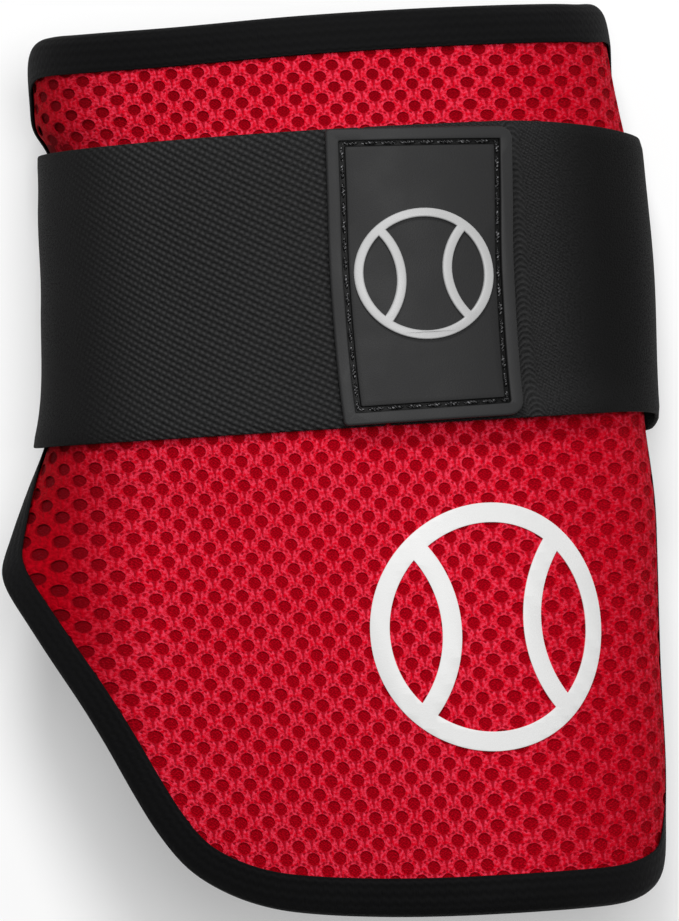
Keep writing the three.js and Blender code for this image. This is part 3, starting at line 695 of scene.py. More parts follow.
def thread_finish(name, colour):
    finish = Finish(name, 0.35, Specular_IOR_Level=0.5)
    u, v = finish.flat()
    twist = ((u + v * 0.8) * 7800.0).sin() * 0.5 + 0.5
    glint = finish.noise(finish.place(), 1900.0).ease(0.50, 0.68) * twist
    return finish.done(finish.shades(glint, colour, 0.25, 9.0), finish.bump(twist, 0.00025, 1.0))


def satin_finish(name, colour, roughness, grain_depth):
    finish = Finish(name, roughness, Specular_IOR_Level=0.5)
    grain = finish.noise(finish.place(), 2600.0, 2.0, 0.6)
    drift = finish.noise(finish.place(), 90.0)
    tinted = finish.shades(drift * 0.6 + grain * 0.4, colour, 0.92, 1.06)
    return finish.done(tinted, finish.bump(grain, grain_depth, 0.5),
                       drift.ease(0.3, 0.7, roughness - 0.05, roughness + 0.07))


def lining_finish():
    finish = Finish("pad_lining", 0.85, Specular_IOR_Level=0.1)
    u, v = finish.flat()
    loops = (u * 4300.0).sin() * (v * 3100.0 + (u * 4300.0).cos()).sin() * 0.5 + 0.5
    fuzz = finish.grain(u * 1900.0, v * 1900.0, 3.0, 0.6)
    tone = (loops * 0.5 + fuzz * 0.6 - 0.1).clamped()
    colour = finish.mix(tone, (0.006, 0.006, 0.0065), (0.022, 0.022, 0.024))
    return finish.done(colour, finish.bump(loops + fuzz * 0.4, 0.0003, 0.8))


def hook_finish():
    finish = Finish("hook_plate", 0.45)
    cell = finish.node("ShaderNodeTexVoronoi", None, {"Vector": finish.place(), "Scale": 900.0})
    colour = finish.mix(cell.ease(0.1, 0.5), (0.03, 0.03, 0.032), (0.008, 0.008, 0.009))
    return finish.done(colour, finish.bump(cell * -1, 0.0005, 0.9))


# Settings

def colour_setting(label, about, default):
    return bpy.props.FloatVectorProperty(name=label, description=about, default=default, subtype="COLOR",
                                         min=0.0, max=1.0)


def length_setting(label, about, default):
    return bpy.props.FloatProperty(name=label, description=about, default=default, subtype="DISTANCE",
                                   unit="LENGTH", min=0.0)


def power_setting(label, about, default):
    return bpy.props.FloatProperty(name=label, description=about, default=default, unit="POWER", min=0.0)


def group_setting(group, label, about):
    return bpy.props.PointerProperty(type=group, name=label, description=about)


class CoverSettings(bpy.types.PropertyGroup):
    strand_colour: colour_setting("Strand", "Light side of the looped strands", (0.89, 0.052, 0.105))
    mesh_colour: colour_setting("Mesh", "Body colour of the net", (0.68, 0.0010, 0.013))
    hole_colour: colour_setting("Hole", "Knit seen through the holes", (0.34, 0.0004, 0.0065))
    # Flank colour: smoother deeper red knit, partly painted shade for the side turning away from the light
    flank_colour_with_shade: colour_setting("Flank", "Colour of the smooth left flank", (0.27, 0.0002, 0.0040))
    pitch_across: length_setting("Pitch across", "Hole spacing across the crown", 0.00575)
    pitch_along: length_setting("Pitch along", "Hole spacing along a column at mid length", 0.00515)
    net_depth: length_setting("Net depth", "Thickness of the open net", 0.00038)


class BindingSettings(bpy.types.PropertyGroup):
    colour: colour_setting("Tape", "Colour of the folded tape", (0.0052, 0.0052, 0.0055))


class StrapSettings(bpy.types.PropertyGroup):
    elastic_colour: colour_setting("Elastic", "Colour of the woven elastic", (0.0208, 0.0208, 0.0211))
    loop_colour: colour_setting("Loop cloth", "Colour of the loop-faced end", (0.0258, 0.0258, 0.0261))
    weave_pitch: length_setting("Weave pitch", "Spacing of the diagonal ribs", 0.00148)


class TabSettings(bpy.types.PropertyGroup):
    colour: colour_setting("Rubber", "Colour of the moulded tab", (0.0222, 0.0222, 0.0226))
    emblem_colour: colour_setting("Emblem", "Colour of the raised ball", (0.46, 0.46, 0.46))
    print_colour: colour_setting("Print", "Colour of the flat ball print", (0.78, 0.78, 0.775))
    stitch_length: length_setting("Stitch", "Length of a stitch in the groove", 0.0034)
    stitch_pitch: length_setting("Stitch pitch", "Spacing of the stitches", 0.0039)


class StageSettings(bpy.types.PropertyGroup):
    floor_colour: colour_setting("Floor", "Colour of the floor", (0.62, 0.62, 0.62))
    key_power: power_setting("Key light", "Power of the soft overhead light", 13.8)
    upper_power: power_setting("Upper light", "Power of the light from the upper-arm end", 26.5)
    camera_height: length_setting("Camera height", "Distance of the camera over the crown", 1.6)


class GuardSettings(bpy.types.PropertyGroup):
    cover: group_setting(CoverSettings, "Cover", "Air mesh cover")
    binding: group_setting(BindingSettings, "Binding", "Edge tape")
    strap: group_setting(StrapSettings, "Strap", "Closure strap")
    tab: group_setting(TabSettings, "Tab", "Pull tab")
    stage: group_setting(StageSettings, "Stage", "Floor, light and camera")


class PieceOperator:
    bl_options = {"REGISTER", "UNDO"}

    def execute(self, context):
        self.make()
        return {"FINISHED"}


# Cover

# Lean of the hole columns, rise of the rows to the right, and the length over which the rows open out
COLUMN_LEAN = 0.05
ROW_RISE = 0.014
PITCH_FADE = 1030.0
# Fabric position in millimetres from the middle, and the hole spacing there as a share of the pitch across
STRETCH = np.array((
    (-90, 2.80), (-75, 2.40), (-65, 2.05), (-58, 1.75), (-52, 1.62), (-43, 1.52), (-39, 1.19), (-34, 1.14),
    (-27, 1.08), (-18, 1.04), (-8, 1.00), (14, 0.98), (27, 1.00), (31, 1.27), (42, 1.37), (52, 1.51),
    (62, 1.74), (72, 2.26), (85, 2.90)))
# Share by which a hole narrows, in hole spacings, where the net is stretched
NARROWING = 0.12
BACKING_TOP, BACKING_FOOT = -0.34, -1.15
NET_INSET = 2.0
LEAST_AREA = 1e-9


def lattice_lines():
    """Fabric positions in millimetres and the hole count up to each of them."""
    step = 0.25
    across = np.arange(-190.0, 150.0, step)
    pitch = settings().cover.pitch_across / MM * np.interp(across, *STRETCH.T)
    count = np.cumsum(step / pitch)
    return across, count - np.interp(0.0, across, count)


def hole_width(flat):
    """How much narrower, in hole coordinates, a hole is where the net is stretched."""
    return np.interp(flat[:, 0] + crown_at(flat[:, 1]), STRETCH[:, 0], STRETCH[:, 1] ** -NARROWING)


def net_map(flat):
    """Hole coordinates of flat points, arc and along in millimetres."""
    chosen = settings().cover
    across, count = lattice_lines()
    fabric = flat[:, 0] + crown_at(flat[:, 1])
    columns = np.interp(fabric, across, count) + COLUMN_LEAN * flat[:, 1] * MM / chosen.pitch_across
    rows = -PITCH_FADE * np.log(1 - flat[:, 1] / PITCH_FADE) + ROW_RISE * fabric
    return np.column_stack([columns, rows * MM / chosen.pitch_along])


def net_places(holes):
    """Arc and along, in millimetres, of points given in hole coordinates: the inverse of net_map."""
    chosen = settings().cover
    across, count = lattice_lines()
    fabric = np.zeros(len(holes))
    for _ in range(3):
        rows = holes[:, 1] * chosen.pitch_along / MM - ROW_RISE * fabric
        along = PITCH_FADE * (1 - np.exp(-rows / PITCH_FADE))
        fabric = np.interp(holes[:, 0] - COLUMN_LEAN * along * MM / chosen.pitch_across, count, across)
    return np.column_stack([fabric - crown_at(along), along])


def pull_inside(loop, points):
    """Points outside a loop moved to the nearest place on it."""
    outside = ~inside_loop(loop, points)
    side = np.roll(loop, -1, axis=0) - loop
    offset = points[outside][:, None] - loop
    share = np.clip((offset * side).sum(2) / (side ** 2).sum(1), 0, 1)
    near = loop + share[..., None] * side
    best = ((points[outside][:, None] - near) ** 2).sum(2).argmin(1)
    moved = points.copy()
    moved[outside] = near[np.arange(len(best)), best]
    return moved


def net_tile(width):
    """One hole of the net with its strands: rings from the strand ridge to the foot of the hole."""
    side = 3
    spoke = np.arange(4 * side)
    turn = 2 * math.pi * spoke / len(spoke)
    hole = np.column_stack([np.cos(turn) * HOLE_ACROSS * width, np.sin(turn) * HOLE_ALONG])
    step = (spoke % side / side)[:, None]
    corner = np.array(((0.5, 0), (0, 0.5), (-0.5, 0), (0, -0.5)))
    diamond = corner[spoke // side] * (1 - step) + corner[(spoke // side + 1) % 4] * step
    rings = ((diamond, 0.0), (hole * 0.9 + diamond * 0.14, -0.02), (hole, -0.13), (hole * 0.98, -1.05))
    tile = ring_stack("net_tile", [lifted(ring, lift) for ring, lift in rings], False)
    points = points_of(tile)
    faces = np.array([list(face.vertices) for face in tile.data.polygons])
    bpy.data.objects.remove(tile)
    return points, faces


def net_cells(loop):
    """Hole places whose tiles lie under the binding's free edge or inside it."""
    reach, edge = np.arange(-40, 41), 1.5
    cells = np.array([(i + h, j + h) for i in reach for j in reach for h in (0, 0.5)])
    flat = net_places(cells)
    return cells[inside_loop(loop, flat) & (distance_to_loop(loop, flat) > edge)]


def with_area(points, faces):
    """The four-sided faces that haven't been pulled flat."""
    a, b, c, d = (points[faces[:, k]] for k in range(4))
    area = np.linalg.norm(np.cross(c - a, d - b), axis=1) / 2
    return faces[area > LEAST_AREA]


class GUARD_OT_cover(PieceOperator, bpy.types.Operator):
    """Makes the open red net and the knit backing seen through its holes"""
    bl_idname = "elbow_guard.cover"
    bl_label = "Air Mesh Cover"

    def make(self):
        backing = flat_piece("cover_backing", inset_loop(SHELL, PANEL_INSET), 5.0)
        flat = points_of(backing)
        lift = np.where(flat[:, 2] < -0.5, BACKING_FOOT, BACKING_TOP)
        move_points(backing, place(flat[:, 0], flat[:, 1], lift))
        write_uv(backing, net_map(flat))
        shade(backing, 50)
        wear(backing, backing_finish(), "red_mesh")

        (tile, faces), (narrow, _) = net_tile(1.0), net_tile(0.5)
        cells = net_cells(SHELL)
        points = np.concatenate([narrow + (tile - narrow) * (2 * width - 1) + (u, v, 0)
                                 for width, (u, v) in zip(hole_width(net_places(cells)), cells)])
        faces = np.concatenate([faces + i * len(tile) for i in range(len(cells))])
        flat = pull_inside(inset_loop(SHELL, NET_INSET), net_places(points))
        placed = place(flat[:, 0], flat[:, 1], points[:, 2] * settings().cover.net_depth / MM)
        net = mesh_piece("cover_net", placed, with_area(placed, faces))
        write_uv(net, points[:, :2])
        write_uv(net, lifted(hole_width(flat), 0), "local")
        edit(net, merge(0.00005), lambda: bpy.ops.mesh.delete_loose(), face_outwards)
        shade(net, 75)
        wear(net, net_finish(), "red_mesh", "mesh_cover")


# Pad

CLOTH_STEPS = 20


class GUARD_OT_pad(PieceOperator, bpy.types.Operator):
    """Makes the padded shell and swells its lining by cloth simulation between the bound edges"""
    bl_idname = "elbow_guard.pad"
    bl_label = "Padded Shell"

    swell: length_setting("Swell", "Most that the lining stands proud", 0.0012)

    def make(self):
        pad = flat_piece("pad_lining", inset_loop(SHELL, PANEL_INSET), 5.5)
        flat = points_of(pad)
        thick = pad_thickness(SHELL, flat[:, :2])
        edge = distance_to_loop(SHELL, flat[:, :2])
        wrap(pad, lambda points: PAD_TOP + points[:, 2] * thick)
        self.swell_by_cloth(pad, (flat[:, 2] > -0.5) | (edge < BINDING_WIDTH + 1))
        apply(pad, "SUBSURF", levels=1, render_levels=1)
        shade(pad)
        wear(pad, lining_finish(), "pad_lining", "shell_pad")

    def swell_by_cloth(self, pad, held):
        before = points_of(pad)
        group = pad.vertex_groups.new(name="held")
        group.add([int(i) for i in np.flatnonzero(held)], 1.0, "REPLACE")
        cloth = pad.modifiers.new("Cloth", "CLOTH")
        cloth.settings.use_pressure = True
        cloth.settings.uniform_pressure_force = 4.0
        cloth.settings.effector_weights.gravity = 0.0
        cloth.settings.vertex_group_mass = "held"
        cloth.settings.quality = 6
        cloth.settings.tension_stiffness = cloth.settings.compression_stiffness = 80.0
        cloth.settings.bending_stiffness = 8.0
        scene = bpy.context.scene
        for step in range(CLOTH_STEPS):
            scene.frame_set(step + 1)
        shape = pad.evaluated_get(bpy.context.evaluated_depsgraph_get()).to_mesh()
        after = np.empty(len(shape.vertices) * 3)
        shape.vertices.foreach_get("co", after)
        pad.modifiers.remove(cloth)
        scene.frame_set(1)
        pad.vertex_groups.clear()
        moved = after.reshape(-1, 3) - before
        far = np.linalg.norm(moved, axis=1)
        moved *= np.minimum(1.0, self.swell / np.maximum(far, 1e-9))[:, None]
        move_points(pad, before + moved)


# Edge binding

TAPE_STEP = 0.9
TAPE_FOLD = 6
# The tape lies thinner along the right side: where that sets in across and ends along, and by how much
TIGHT_ACROSS, TIGHT_ALONG, TIGHT_SHARE = (15, 50), (78, 90), 0.8


def closed_curve(stations, steps):
    """Closed spline rows through stations, an (n, k) array."""
    a, b, c, d = (np.roll(stations, k, axis=0)[:, None] for k in (1, 0, -1, -2))
    t = (np.arange(steps) / steps)[:, None]
    rows = 2 * b + (c - a) * t + (2 * a - 5 * b + 4 * c - d) * t**2 + (3 * b - a - 3 * c + d) * t**3
    return rows.reshape(-1, stations.shape[1]) / 2


class GUARD_OT_binding(PieceOperator, bpy.types.Operator):
    """Folds the tape round the edge of the shell"""
    bl_idname = "elbow_guard.binding"
    bl_label = "Edge Binding"

    def make(self):
        steps = 3
        profile = self.profile()
        deselect()
        bpy.ops.mesh.primitive_torus_add(major_segments=len(SHELL) * steps, minor_segments=len(profile))
        tape = bpy.context.object
        tape.name = tape.data.name = "binding_fold"
        columns = []
        for inset, top, under in profile:
            flat = inset_loop(SHELL, inset)
            if under:
                height = PAD_TOP - pad_thickness(SHELL, flat) - BINDING_GAP + top
            else:
                tight = smooth(flat[:, 0], *TIGHT_ACROSS) * (1 - smooth(np.abs(flat[:, 1]), *TIGHT_ALONG))
                height = top * (1 - TIGHT_SHARE * tight * (top > 0))
            rows = closed_curve(np.column_stack([flat, height]), steps)
            columns.append(place(rows[:, 0], rows[:, 1], rows[:, 2]))
        grid = np.stack(columns, axis=1)
        length = np.linalg.norm(np.diff(grid[:, TAPE_FOLD], axis=0, append=grid[:1, TAPE_FOLD]), axis=1)
        along = np.cumsum(length) - length[0]
        spread = np.arange(len(profile)) * TAPE_STEP * MM
        uv = np.stack(np.broadcast_arrays(spread[None, :], along[:, None]), axis=2)
        write_uv(tape, uv.reshape(-1, 2))
        move_points(tape, grid.reshape(-1, 3))
        edit(tape, face_outwards)
        apply(tape, "SUBSURF", levels=1, render_levels=1)
        shade(tape)
        wear(tape, tape_finish(), "binding_tape", "edge_binding")

    @staticmethod
    def profile():
        """Inset, height, and False over the cover or True under the pad, round the fold."""
        over = ((8.70, 0.30), (8.70, 0.60), (8.45, 0.86), (7.7, 0.96), (6.3, 1.0), (4.7, 1.0), (3.2, 0.94),
                (1.9, 0.72), (0.9, 0.25), (0.28, -0.5), (0.02, -1.3))
        under = ((0.02, 1.2), (0.28, 0.25), (0.9, -0.55), (2.0, -1.05), (3.8, -1.2), (6.2, -1.22),
                 (8.2, -1.15), (8.70, -0.75), (8.70, -0.15), (6.0, 0.0), (2.6, 0.0), (1.35, 0.4))
        close = ((1.35, 0.32), (5.0, 0.35))
        return [(*row, rows is under) for rows in (over, under, close) for row in rows]


# Strap

def strap_edge(along, side):
    """Arc length of the shell's edge on one side at the arm positions along."""
    lines = np.linspace(-10.0, 90.0, 201)
    reach = np.zeros_like(lines)
    for (s0, y0), (s1, y1) in zip(SHELL, np.roll(SHELL, -1, axis=0)):
        hit = ((y0 - lines) * (y1 - lines) <= 0) & (y0 != y1)
        at = s0 + (s1 - s0) * (lines - y0) / ((y1 - y0) or 1.0)
        reach = np.where(hit, np.maximum(reach, at * side), reach)
    return np.interp(along, lines, reach)


def strap_points(side, end, station, along, lift):
    """Points of a strap half at stations from its end under the tab to the seam on the floor."""
    lift_end, corner_end = FRONT_STEPS + LIFT_STEPS, TOP_STEPS + CORNER_STEPS
    edge = strap_edge(along, side)
    start = edge - BINDING_WIDTH - STRAP_LIFT_RUN
    rise = STRAP_LIFT_RUN - 1
    arc = (end + (side * start - end) * ramp(station, 0, FRONT_STEPS)
           + side * rise * ramp(station, FRONT_STEPS, lift_end)
           + side * (edge + STRAP_PAST_EDGE - start - rise) * ramp(station, lift_end, TOP_STEPS))
    over = STRAP_GAP + BINDING_TOP * smooth(np.abs(arc) - start, -STRAP_EASE, STRAP_LIFT_RUN)
    top = place(arc, along, over + lift) / MM
    outer = place(arc, along, over + STRAP_THICK) / MM
    floor_x = outer[:, 0] - side * STRAP_CORNER
    turn = ramp(station, TOP_STEPS, corner_end) * math.pi / 2
    corner_x = floor_x + (top[:, 0] - floor_x) * np.cos(turn)
    corner_z = top[:, 2] + (STRAP_THICK - lift - top[:, 2]) * np.sin(turn)
    seam = STRAP_SEAM_X + CENTRE_SHIFT + side * STRAP_SEAM_GAP / 2
    rounds = station > TOP_STEPS
    x = np.where(rounds, corner_x + (seam - corner_x) * ramp(station, corner_end, ALL_STEPS), top[:, 0])
    z = np.where(rounds, corner_z, top[:, 2])
    return np.column_stack([x, along, z]) * MM


def strap_edges(side, station):
    """Lower and upper edge of the strap: the right half slips as it rounds the side, its upper edge first."""
    low, high = (STRAP_SLIP * smooth(station, *(ELASTIC_SLIP if side < 0 else slip))
                 for slip in (LOOP_LOW_SLIP, LOOP_TOP_SLIP))
    return STRAP_LOW - low, STRAP_LOW + STRAP_WIDTH - high


def make_strap(name, side, end, ripple):
    """A strap half as a solid sheet, with its flat map in metres."""
    columns, rows = 96, 26
    deselect()
    bpy.ops.mesh.primitive_grid_add(x_subdivisions=columns, y_subdivisions=rows, size=1)
    strap = bpy.context.object
    strap.name = strap.data.name = name
    edit(strap, thicken, face_outwards)
    flat = points_of(strap)
    station = (flat[:, 0] + 0.5) * ALL_STEPS
    width = flat[:, 1] + 0.5
    edge_roll = ramp(np.abs(flat[:, 1]), 0.485, 0.5)
    low, high = strap_edges(side, station)
    along = low + (high - low) * width
    layer = np.where(flat[:, 2] < -0.5, -0.5, 0.5)
    lift = STRAP_THICK * (0.5 + layer * (1 - 0.45 * edge_roll)) + ripple(station, width)
    stops = np.linspace(0, ALL_STEPS, 400)
    run = run_along(strap_points(side, end, stops, STRAP_MIDDLE + 0 * stops, STRAP_THICK / 2))
    write_uv(strap, np.column_stack([np.interp(station, stops, run) * side, along * MM]))
    move_points(strap, strap_points(side, end, station, along, lift))
    if side < 0:
        edit(strap, face_outwards)
    apply(strap, "BEVEL", width=0.0004, segments=2, limit_method="ANGLE", angle_limit=math.radians(50))
    shade(strap, 60)
    return strap, float(run[-1])


class GUARD_OT_straps(PieceOperator, bpy.types.Operator):
    """Makes the elastic half and the loop-faced half of the strap"""
    bl_idname = "elbow_guard.straps"
    bl_label = "Closure Strap"

    def make(self):
        chosen = settings().strap
        pitch, under = chosen.weave_pitch, ["cover_net", "binding_fold"]
        elastic, length = make_strap("elastic_band", -1, 9.0, lambda station, width: 0 * station)
        weave = strap_finish("woven_elastic", chosen.elastic_colour, pitch, 1.0, -1, 0.034)
        wear(elastic, weave, "elastic", "elastic_strap")
        loop, length = make_strap("loop_band", 1, 10.0, loop_ripple)
        brushed = strap_finish("loop_cloth", chosen.loop_colour, pitch * 0.55, 0.35, 1, 0.046, 0.0335)
        wear(loop, brushed, "loop_cloth", "loop_strap")


def loop_ripple(station, width):
    """Small cross ripples just right of the tab, and the lower edge standing off the cover."""
    cross = 0.16 * np.sin(width * 210) * np.exp(-((station - 4.5) / 0.45) ** 2)
    return cross + 2.8 * np.exp(-((station - 5.2) / 2.6) ** 2) * (1 - smooth(width, 0, 0.14))


# Tab

def tab_base(arc):
    return TAB_BASE[0] + (TAB_BASE[1] - TAB_BASE[0]) * (arc - TAB_SPAN[0]) / (TAB_SPAN[1] - TAB_SPAN[0])


def rounded_corners(corners, rounds, inset, steps):
    """Corners cut round, each with steps + 1 points, moved inward by inset."""
    corners = np.array(corners)
    out = []
    for i, corner in enumerate(corners):
        before, after = corners[i - 1] - corner, corners[(i + 1) % len(corners)] - corner
        before, after = before / np.linalg.norm(before), after / np.linalg.norm(after)
        sine = abs(before[0] * after[1] - before[1] * after[0])
        core = corner + (before + after) * inset / sine
        round_ = max(rounds[i] - inset, 0.35)
        start, end = core + before * round_, core + after * round_
        middle = core + (before + after) * round_
        for turn in np.linspace(0, math.pi / 2, steps + 1):
            out.append(middle - after * round_ * math.cos(turn) - before * round_ * math.sin(turn))
    return np.array(out)


class GUARD_OT_tab(PieceOperator, bpy.types.Operator):
    """Moulds the rubber pull tab with its rim, stitched groove and raised field"""
    bl_idname = "elbow_guard.tab"
    bl_label = "Pull Tab"

    def make(self):
        tab = self.moulding()
        level = points_of(tab)[:, 2] / TAB_THICK
        write_uv(tab, np.column_stack([level, level]), "local")
        wrap(tab, lambda points: tab_base(points[:, 0]) + points[:, 2])
        shade(tab, 40)
        wear(tab, rubber_finish(), "tab_rubber", "pull_tab")
        thread = self.stitches()
        wear(thread, thread_finish("tab_thread", (0.03, 0.03, 0.031)), "tab_rubber")

    def moulding(self):
        top, foot, far = TAB_THICK, TAB_THICK - TAB_DEPTH, TAB_RIM + TAB_GROOVE
        levels = ((0.2, 0.0), (0.0, 0.2), (0.0, top - 0.55), (0.1, top - 0.2), (0.35, top - 0.03), (0.6, top),
                  (TAB_RIM - 0.2, top), (TAB_RIM, top - 0.12), (TAB_RIM + 0.12, foot), (far - 0.15, foot),
                  (far, top - 0.4), (far + 0.12, top - 0.18), (far + 0.4, top - 0.1))
        tab = ring_stack("tab_moulding", [lifted(rounded_corners(TAB_CORNERS, TAB_ROUNDS, inset, 6), height)
                                          for inset, height in levels])
        edit(tab, cuts(np.array(TAB_CORNERS), 2.6), face_outwards)
        return tab

    def stitches(self):
        """Thread stitches laid round the middle of the groove."""
        chosen = settings().tab
        line = rounded_corners(TAB_CORNERS, TAB_ROUNDS, TAB_RIM + TAB_GROOVE / 2, 4)
        closed = np.vstack([line, line[:1]])
        length = run_along(closed)[-1]
        count = int(round(length / (chosen.stitch_pitch / MM)))
        deselect()
        bpy.ops.mesh.primitive_uv_sphere_add(segments=8, ring_count=7, radius=1)
        bead = bpy.context.object
        shape = points_of(bead)[:, [2, 0, 1]]
        faces = [list(face.vertices) for face in bead.data.polygons]
        bpy.data.objects.remove(bead)
        half = chosen.stitch_length / MM / 2
        shape = shape * (half, 0.42, 0.42)
        shape[:, 1:] *= (1 - (np.abs(shape[:, :1]) / half) ** 4 * 0.3)
        points, all_faces, uv = [], [], []
        for i in range(count):
            at = (i + 0.5) * length / count + shape[:, 0]
            here = points_along(closed, at % length)
            way = (points_along(closed, (at + 0.2) % length) - here) / 0.2
            x, y = here.T
            lift = tab_base(x) + TAB_THICK - 0.62 + shape[:, 2] - 0.25 * (shape[:, 0] / half) ** 2
            points.append(place(x - way[:, 1] * shape[:, 1], y + way[:, 0] * shape[:, 1], lift))
            all_faces += [[v + i * len(shape) for v in face] for face in faces]
            uv.append(np.column_stack([at, shape[:, 1]]) * MM)
        thread = mesh_piece("tab_thread", np.vstack(points), all_faces)
        write_uv(thread, np.vstack(uv))
        edit(thread, face_outwards)
        shade(thread)
        return thread


# Ball emblem and ball print

def arc_line(radius, centre, start, end, steps):
    turn = np.linspace(start, end, steps + 1)
    return np.column_stack([centre + radius * np.cos(turn), radius * np.sin(turn)])


def ball_lines(radius, line, seam_reach, seam_radius, steps=18):
    """A ball seen face on: its rim and, as holes, the three fields between two curved seams."""
    rim = radius - line
    seam_x = seam_reach + seam_radius

    def crossing(seam):
        x = (rim**2 - seam**2 + seam_x**2) / (2 * seam_x)
        y = math.sqrt(rim**2 - x**2)
        return math.atan2(y, x), math.atan2(y, x - seam_x)
    outer_rim, outer_seam = crossing(seam_radius - line / 2)
    inner_rim, inner_seam = crossing(seam_radius + line / 2)
    side = np.vstack([
        arc_line(rim, 0, -outer_rim, outer_rim, steps),
        arc_line(seam_radius - line / 2, seam_x, outer_seam, 2 * math.pi - outer_seam, steps)[1:-1]])
    middle = np.vstack([
        arc_line(rim, 0, inner_rim, math.pi - inner_rim, steps),
        arc_line(seam_radius + line / 2, -seam_x, math.pi - inner_seam, inner_seam - math.pi, steps)[1:-1],
        arc_line(rim, 0, math.pi + inner_rim, 2 * math.pi - inner_rim, steps),
        arc_line(seam_radius + line / 2, seam_x, -inner_seam, inner_seam - 2 * math.pi, steps)[1:-1]])
    outside = arc_line(radius, 0, 0, 2 * math.pi, 4 * steps)[:-1]
    return [outside, side, side * (-1, 1), middle]


def relief(name, lines, depth, bevel, segments):
    """A flat curve with holes, given depth and a bevelled edge, as a mesh in millimetres."""
    curve = bpy.data.curves.new(name, "CURVE")
    curve.dimensions = "2D"
    curve.fill_mode = "BOTH"
    curve.extrude = depth / 2 - bevel
    curve.bevel_depth = bevel
    curve.bevel_resolution = segments
    curve.offset = -bevel
    for line in lines:
        spline = curve.splines.new("POLY")
        spline.points.add(len(line) - 1)
        spline.points.foreach_set("co", lifted(lifted(line, 0), 1).ravel())
        spline.use_cyclic_u = True
    piece = bpy.data.objects.new(name, curve)
    bpy.context.scene.collection.objects.link(piece)
    pick(piece)
    bpy.ops.object.convert(target="MESH")
    piece = bpy.context.object
    piece.name = piece.data.name = name
    edit(piece, merge(0.001), face_outwards)
    return piece


class GUARD_OT_marks(PieceOperator, bpy.types.Operator):
    """Makes the raised ball on the tab and the flat ball print on the cover"""
    bl_idname = "elbow_guard.marks"
    bl_label = "Ball Marks"

    def make(self):
        chosen = settings().tab
        emblem = relief("ball_emblem", ball_lines(14.0, 1.9, 4.6, 14.5), 0.9, 0.3, 2)
        points = points_of(emblem)
        points[:, :2] += EMBLEM_AT
        move_points(emblem, points)
        wrap(emblem, lambda flat: tab_base(flat[:, 0]) + TAB_THICK - 0.05 + 0.42 + flat[:, 2])
        shade(emblem, 35)
        silver = satin_finish("emblem_silver", chosen.emblem_colour, 0.42, 0.00005)
        wear(emblem, silver, "emblem_film", "tab_emblem")

        print_ = relief("ball_print", ball_lines(26.5, 4.2, 9.0, 27.0, 30), 0.3, 0.08, 1)
        points = points_of(print_)
        points[:, :2] += PRINT_AT
        points[:, 0] -= crown_at(points[:, 1])
        move_points(print_, points)
        edit(print_, cuts(points[:, :2], 3.0))
        wrap(print_, lambda flat: 0.16 + flat[:, 2])
        shade(print_, 35)
        wear(print_, satin_finish("print_film", chosen.print_colour, 0.5, 0.00004), "emblem_film")


class GUARD_OT_hook(PieceOperator, bpy.types.Operator):
    """Gives the hook plate under the tab its finish"""
    bl_idname = "elbow_guard.hook"
    bl_label = "Hook Plate"

    def make(self):
        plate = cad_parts["hook_patch"]
        finish = hook_finish()
        if not plate.material_slots:
            plate.data.materials.append(finish)
        for slot in plate.material_slots:
            slot.material = finish


# Stage

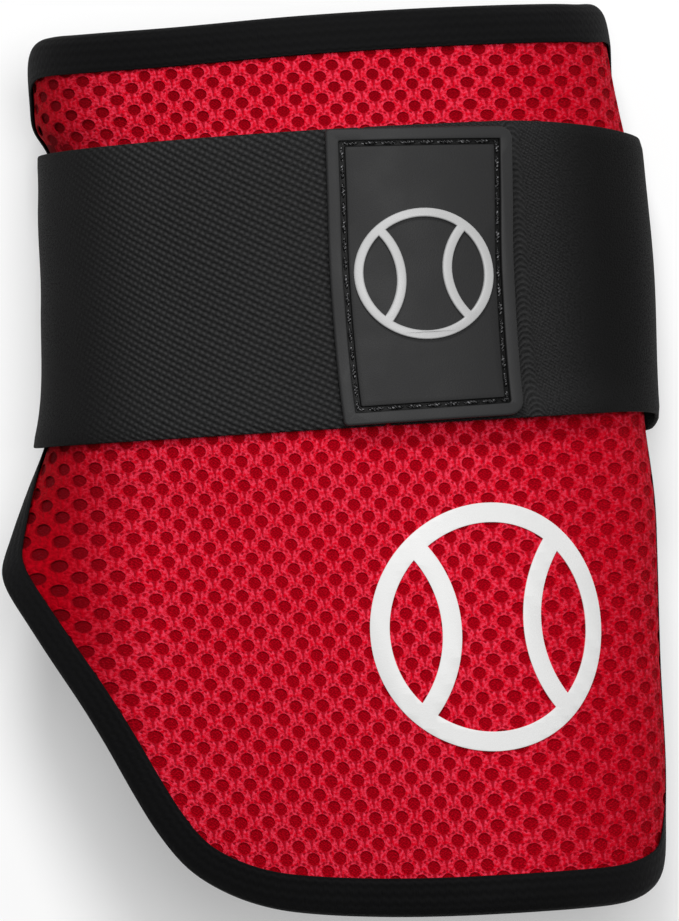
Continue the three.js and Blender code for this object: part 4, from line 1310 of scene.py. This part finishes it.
class GUARD_OT_stage(PieceOperator, bpy.types.Operator):
    """Sets the floor, the soft light and the camera over the crown"""
    bl_idname = "elbow_guard.stage"
    bl_label = "Stage"

    def make(self):
        self.floor()
        self.lights()
        self.camera()

    def floor(self):
        deselect()
        bpy.ops.mesh.primitive_plane_add(size=6)
        floor = bpy.context.object
        floor.name = "floor"
        finish = Finish("floor_paper", 0.9, Specular_IOR_Level=0.0, Emission_Strength=0.38)
        cloud = finish.noise(finish.place(), 2.0, 2.0)
        colour = settings().stage.floor_colour
        floor.data.materials.append(finish.done(finish.shades(cloud, colour, 0.99, 1.0)))

    def lights(self):
        stage = settings().stage
        self.lamp("key", 0.8, stage.key_power, (0.22, 0.26, 1.5), (-9.5, 8.5))
        self.lamp("upper", 0.6, stage.upper_power, (-0.10, 1.6, 1.7), (-42.8, -2.5))
        world = bpy.data.worlds.new("studio")
        world.use_nodes = True
        world.node_tree.nodes["Background"].inputs["Color"].default_value = (1, 1, 1, 1)
        world.node_tree.nodes["Background"].inputs["Strength"].default_value = 0.10
        bpy.context.scene.world = world
        bpy.context.scene.view_settings.view_transform = "Standard"

    @staticmethod
    def lamp(name, size, power, place_, tilt):
        """A round area light; tilt about x, then about y, in degrees."""
        light = bpy.data.lights.new(name, "AREA")
        light.shape = "DISK"
        light.size = size
        light.energy = power
        lamp = bpy.data.objects.new(name, light)
        turn = Matrix.Rotation(math.radians(tilt[1]), 4, "Y") @ Matrix.Rotation(math.radians(tilt[0]), 4, "X")
        lamp.matrix_world = Matrix.Translation(place_) @ turn
        bpy.context.scene.collection.objects.link(lamp)

    def camera(self):
        """Straight over the crown, rolled 3.5 degrees, framing 147 by 199.4 mm at 45 mm height."""
        roll, high = math.radians(3.5), settings().stage.camera_height
        data = bpy.data.cameras.new("photo_view")
        data.lens = 36.0 * high / 0.1994
        camera = bpy.data.objects.new("photo_view", data)
        camera.matrix_world = Matrix((
            (math.cos(roll), math.sin(roll), 0, 0.00225),
            (-math.sin(roll), math.cos(roll), 0, 0.00185),
            (0, 0, 1, high + 0.045),
            (0, 0, 0, 1)))
        bpy.context.scene.collection.objects.link(camera)
        bpy.context.scene.camera = camera


OPERATORS = (GUARD_OT_cover, GUARD_OT_pad, GUARD_OT_binding, GUARD_OT_straps, GUARD_OT_tab, GUARD_OT_marks,
             GUARD_OT_hook, GUARD_OT_stage)


class GUARD_PT_sidebar(bpy.types.Panel):
    """Lists the pieces of the guard and their settings"""
    bl_idname = "GUARD_PT_sidebar"
    bl_label = "Elbow Guard"
    bl_space_type = "VIEW_3D"
    bl_region_type = "UI"
    bl_category = "Elbow Guard"

    def draw(self, context):
        for group in ("cover", "binding", "strap", "tab", "stage"):
            chosen = getattr(context.scene.elbow_guard, group)
            box = self.layout.box()
            for name in chosen.bl_rna.properties.keys():
                if name not in ("rna_type", "name"):
                    box.prop(chosen, name)
        for operator in OPERATORS:
            self.layout.operator(operator.bl_idname)


CLASSES = (CoverSettings, BindingSettings, StrapSettings, TabSettings, StageSettings, GuardSettings,
           *OPERATORS, GUARD_PT_sidebar)


def register():
    for cls in CLASSES:
        bpy.utils.register_class(cls)
    bpy.types.Scene.elbow_guard = bpy.props.PointerProperty(type=GuardSettings)


def unregister():
    del bpy.types.Scene.elbow_guard
    for cls in reversed(CLASSES):
        bpy.utils.unregister_class(cls)


def main():
    register()
    bpy.ops.elbow_guard.cover()
    bpy.ops.elbow_guard.pad()
    bpy.ops.elbow_guard.binding()
    bpy.ops.elbow_guard.straps()
    bpy.ops.elbow_guard.tab()
    bpy.ops.elbow_guard.marks()
    bpy.ops.elbow_guard.hook()
    bpy.ops.elbow_guard.stage()


if __name__ == "__main__":
    main()
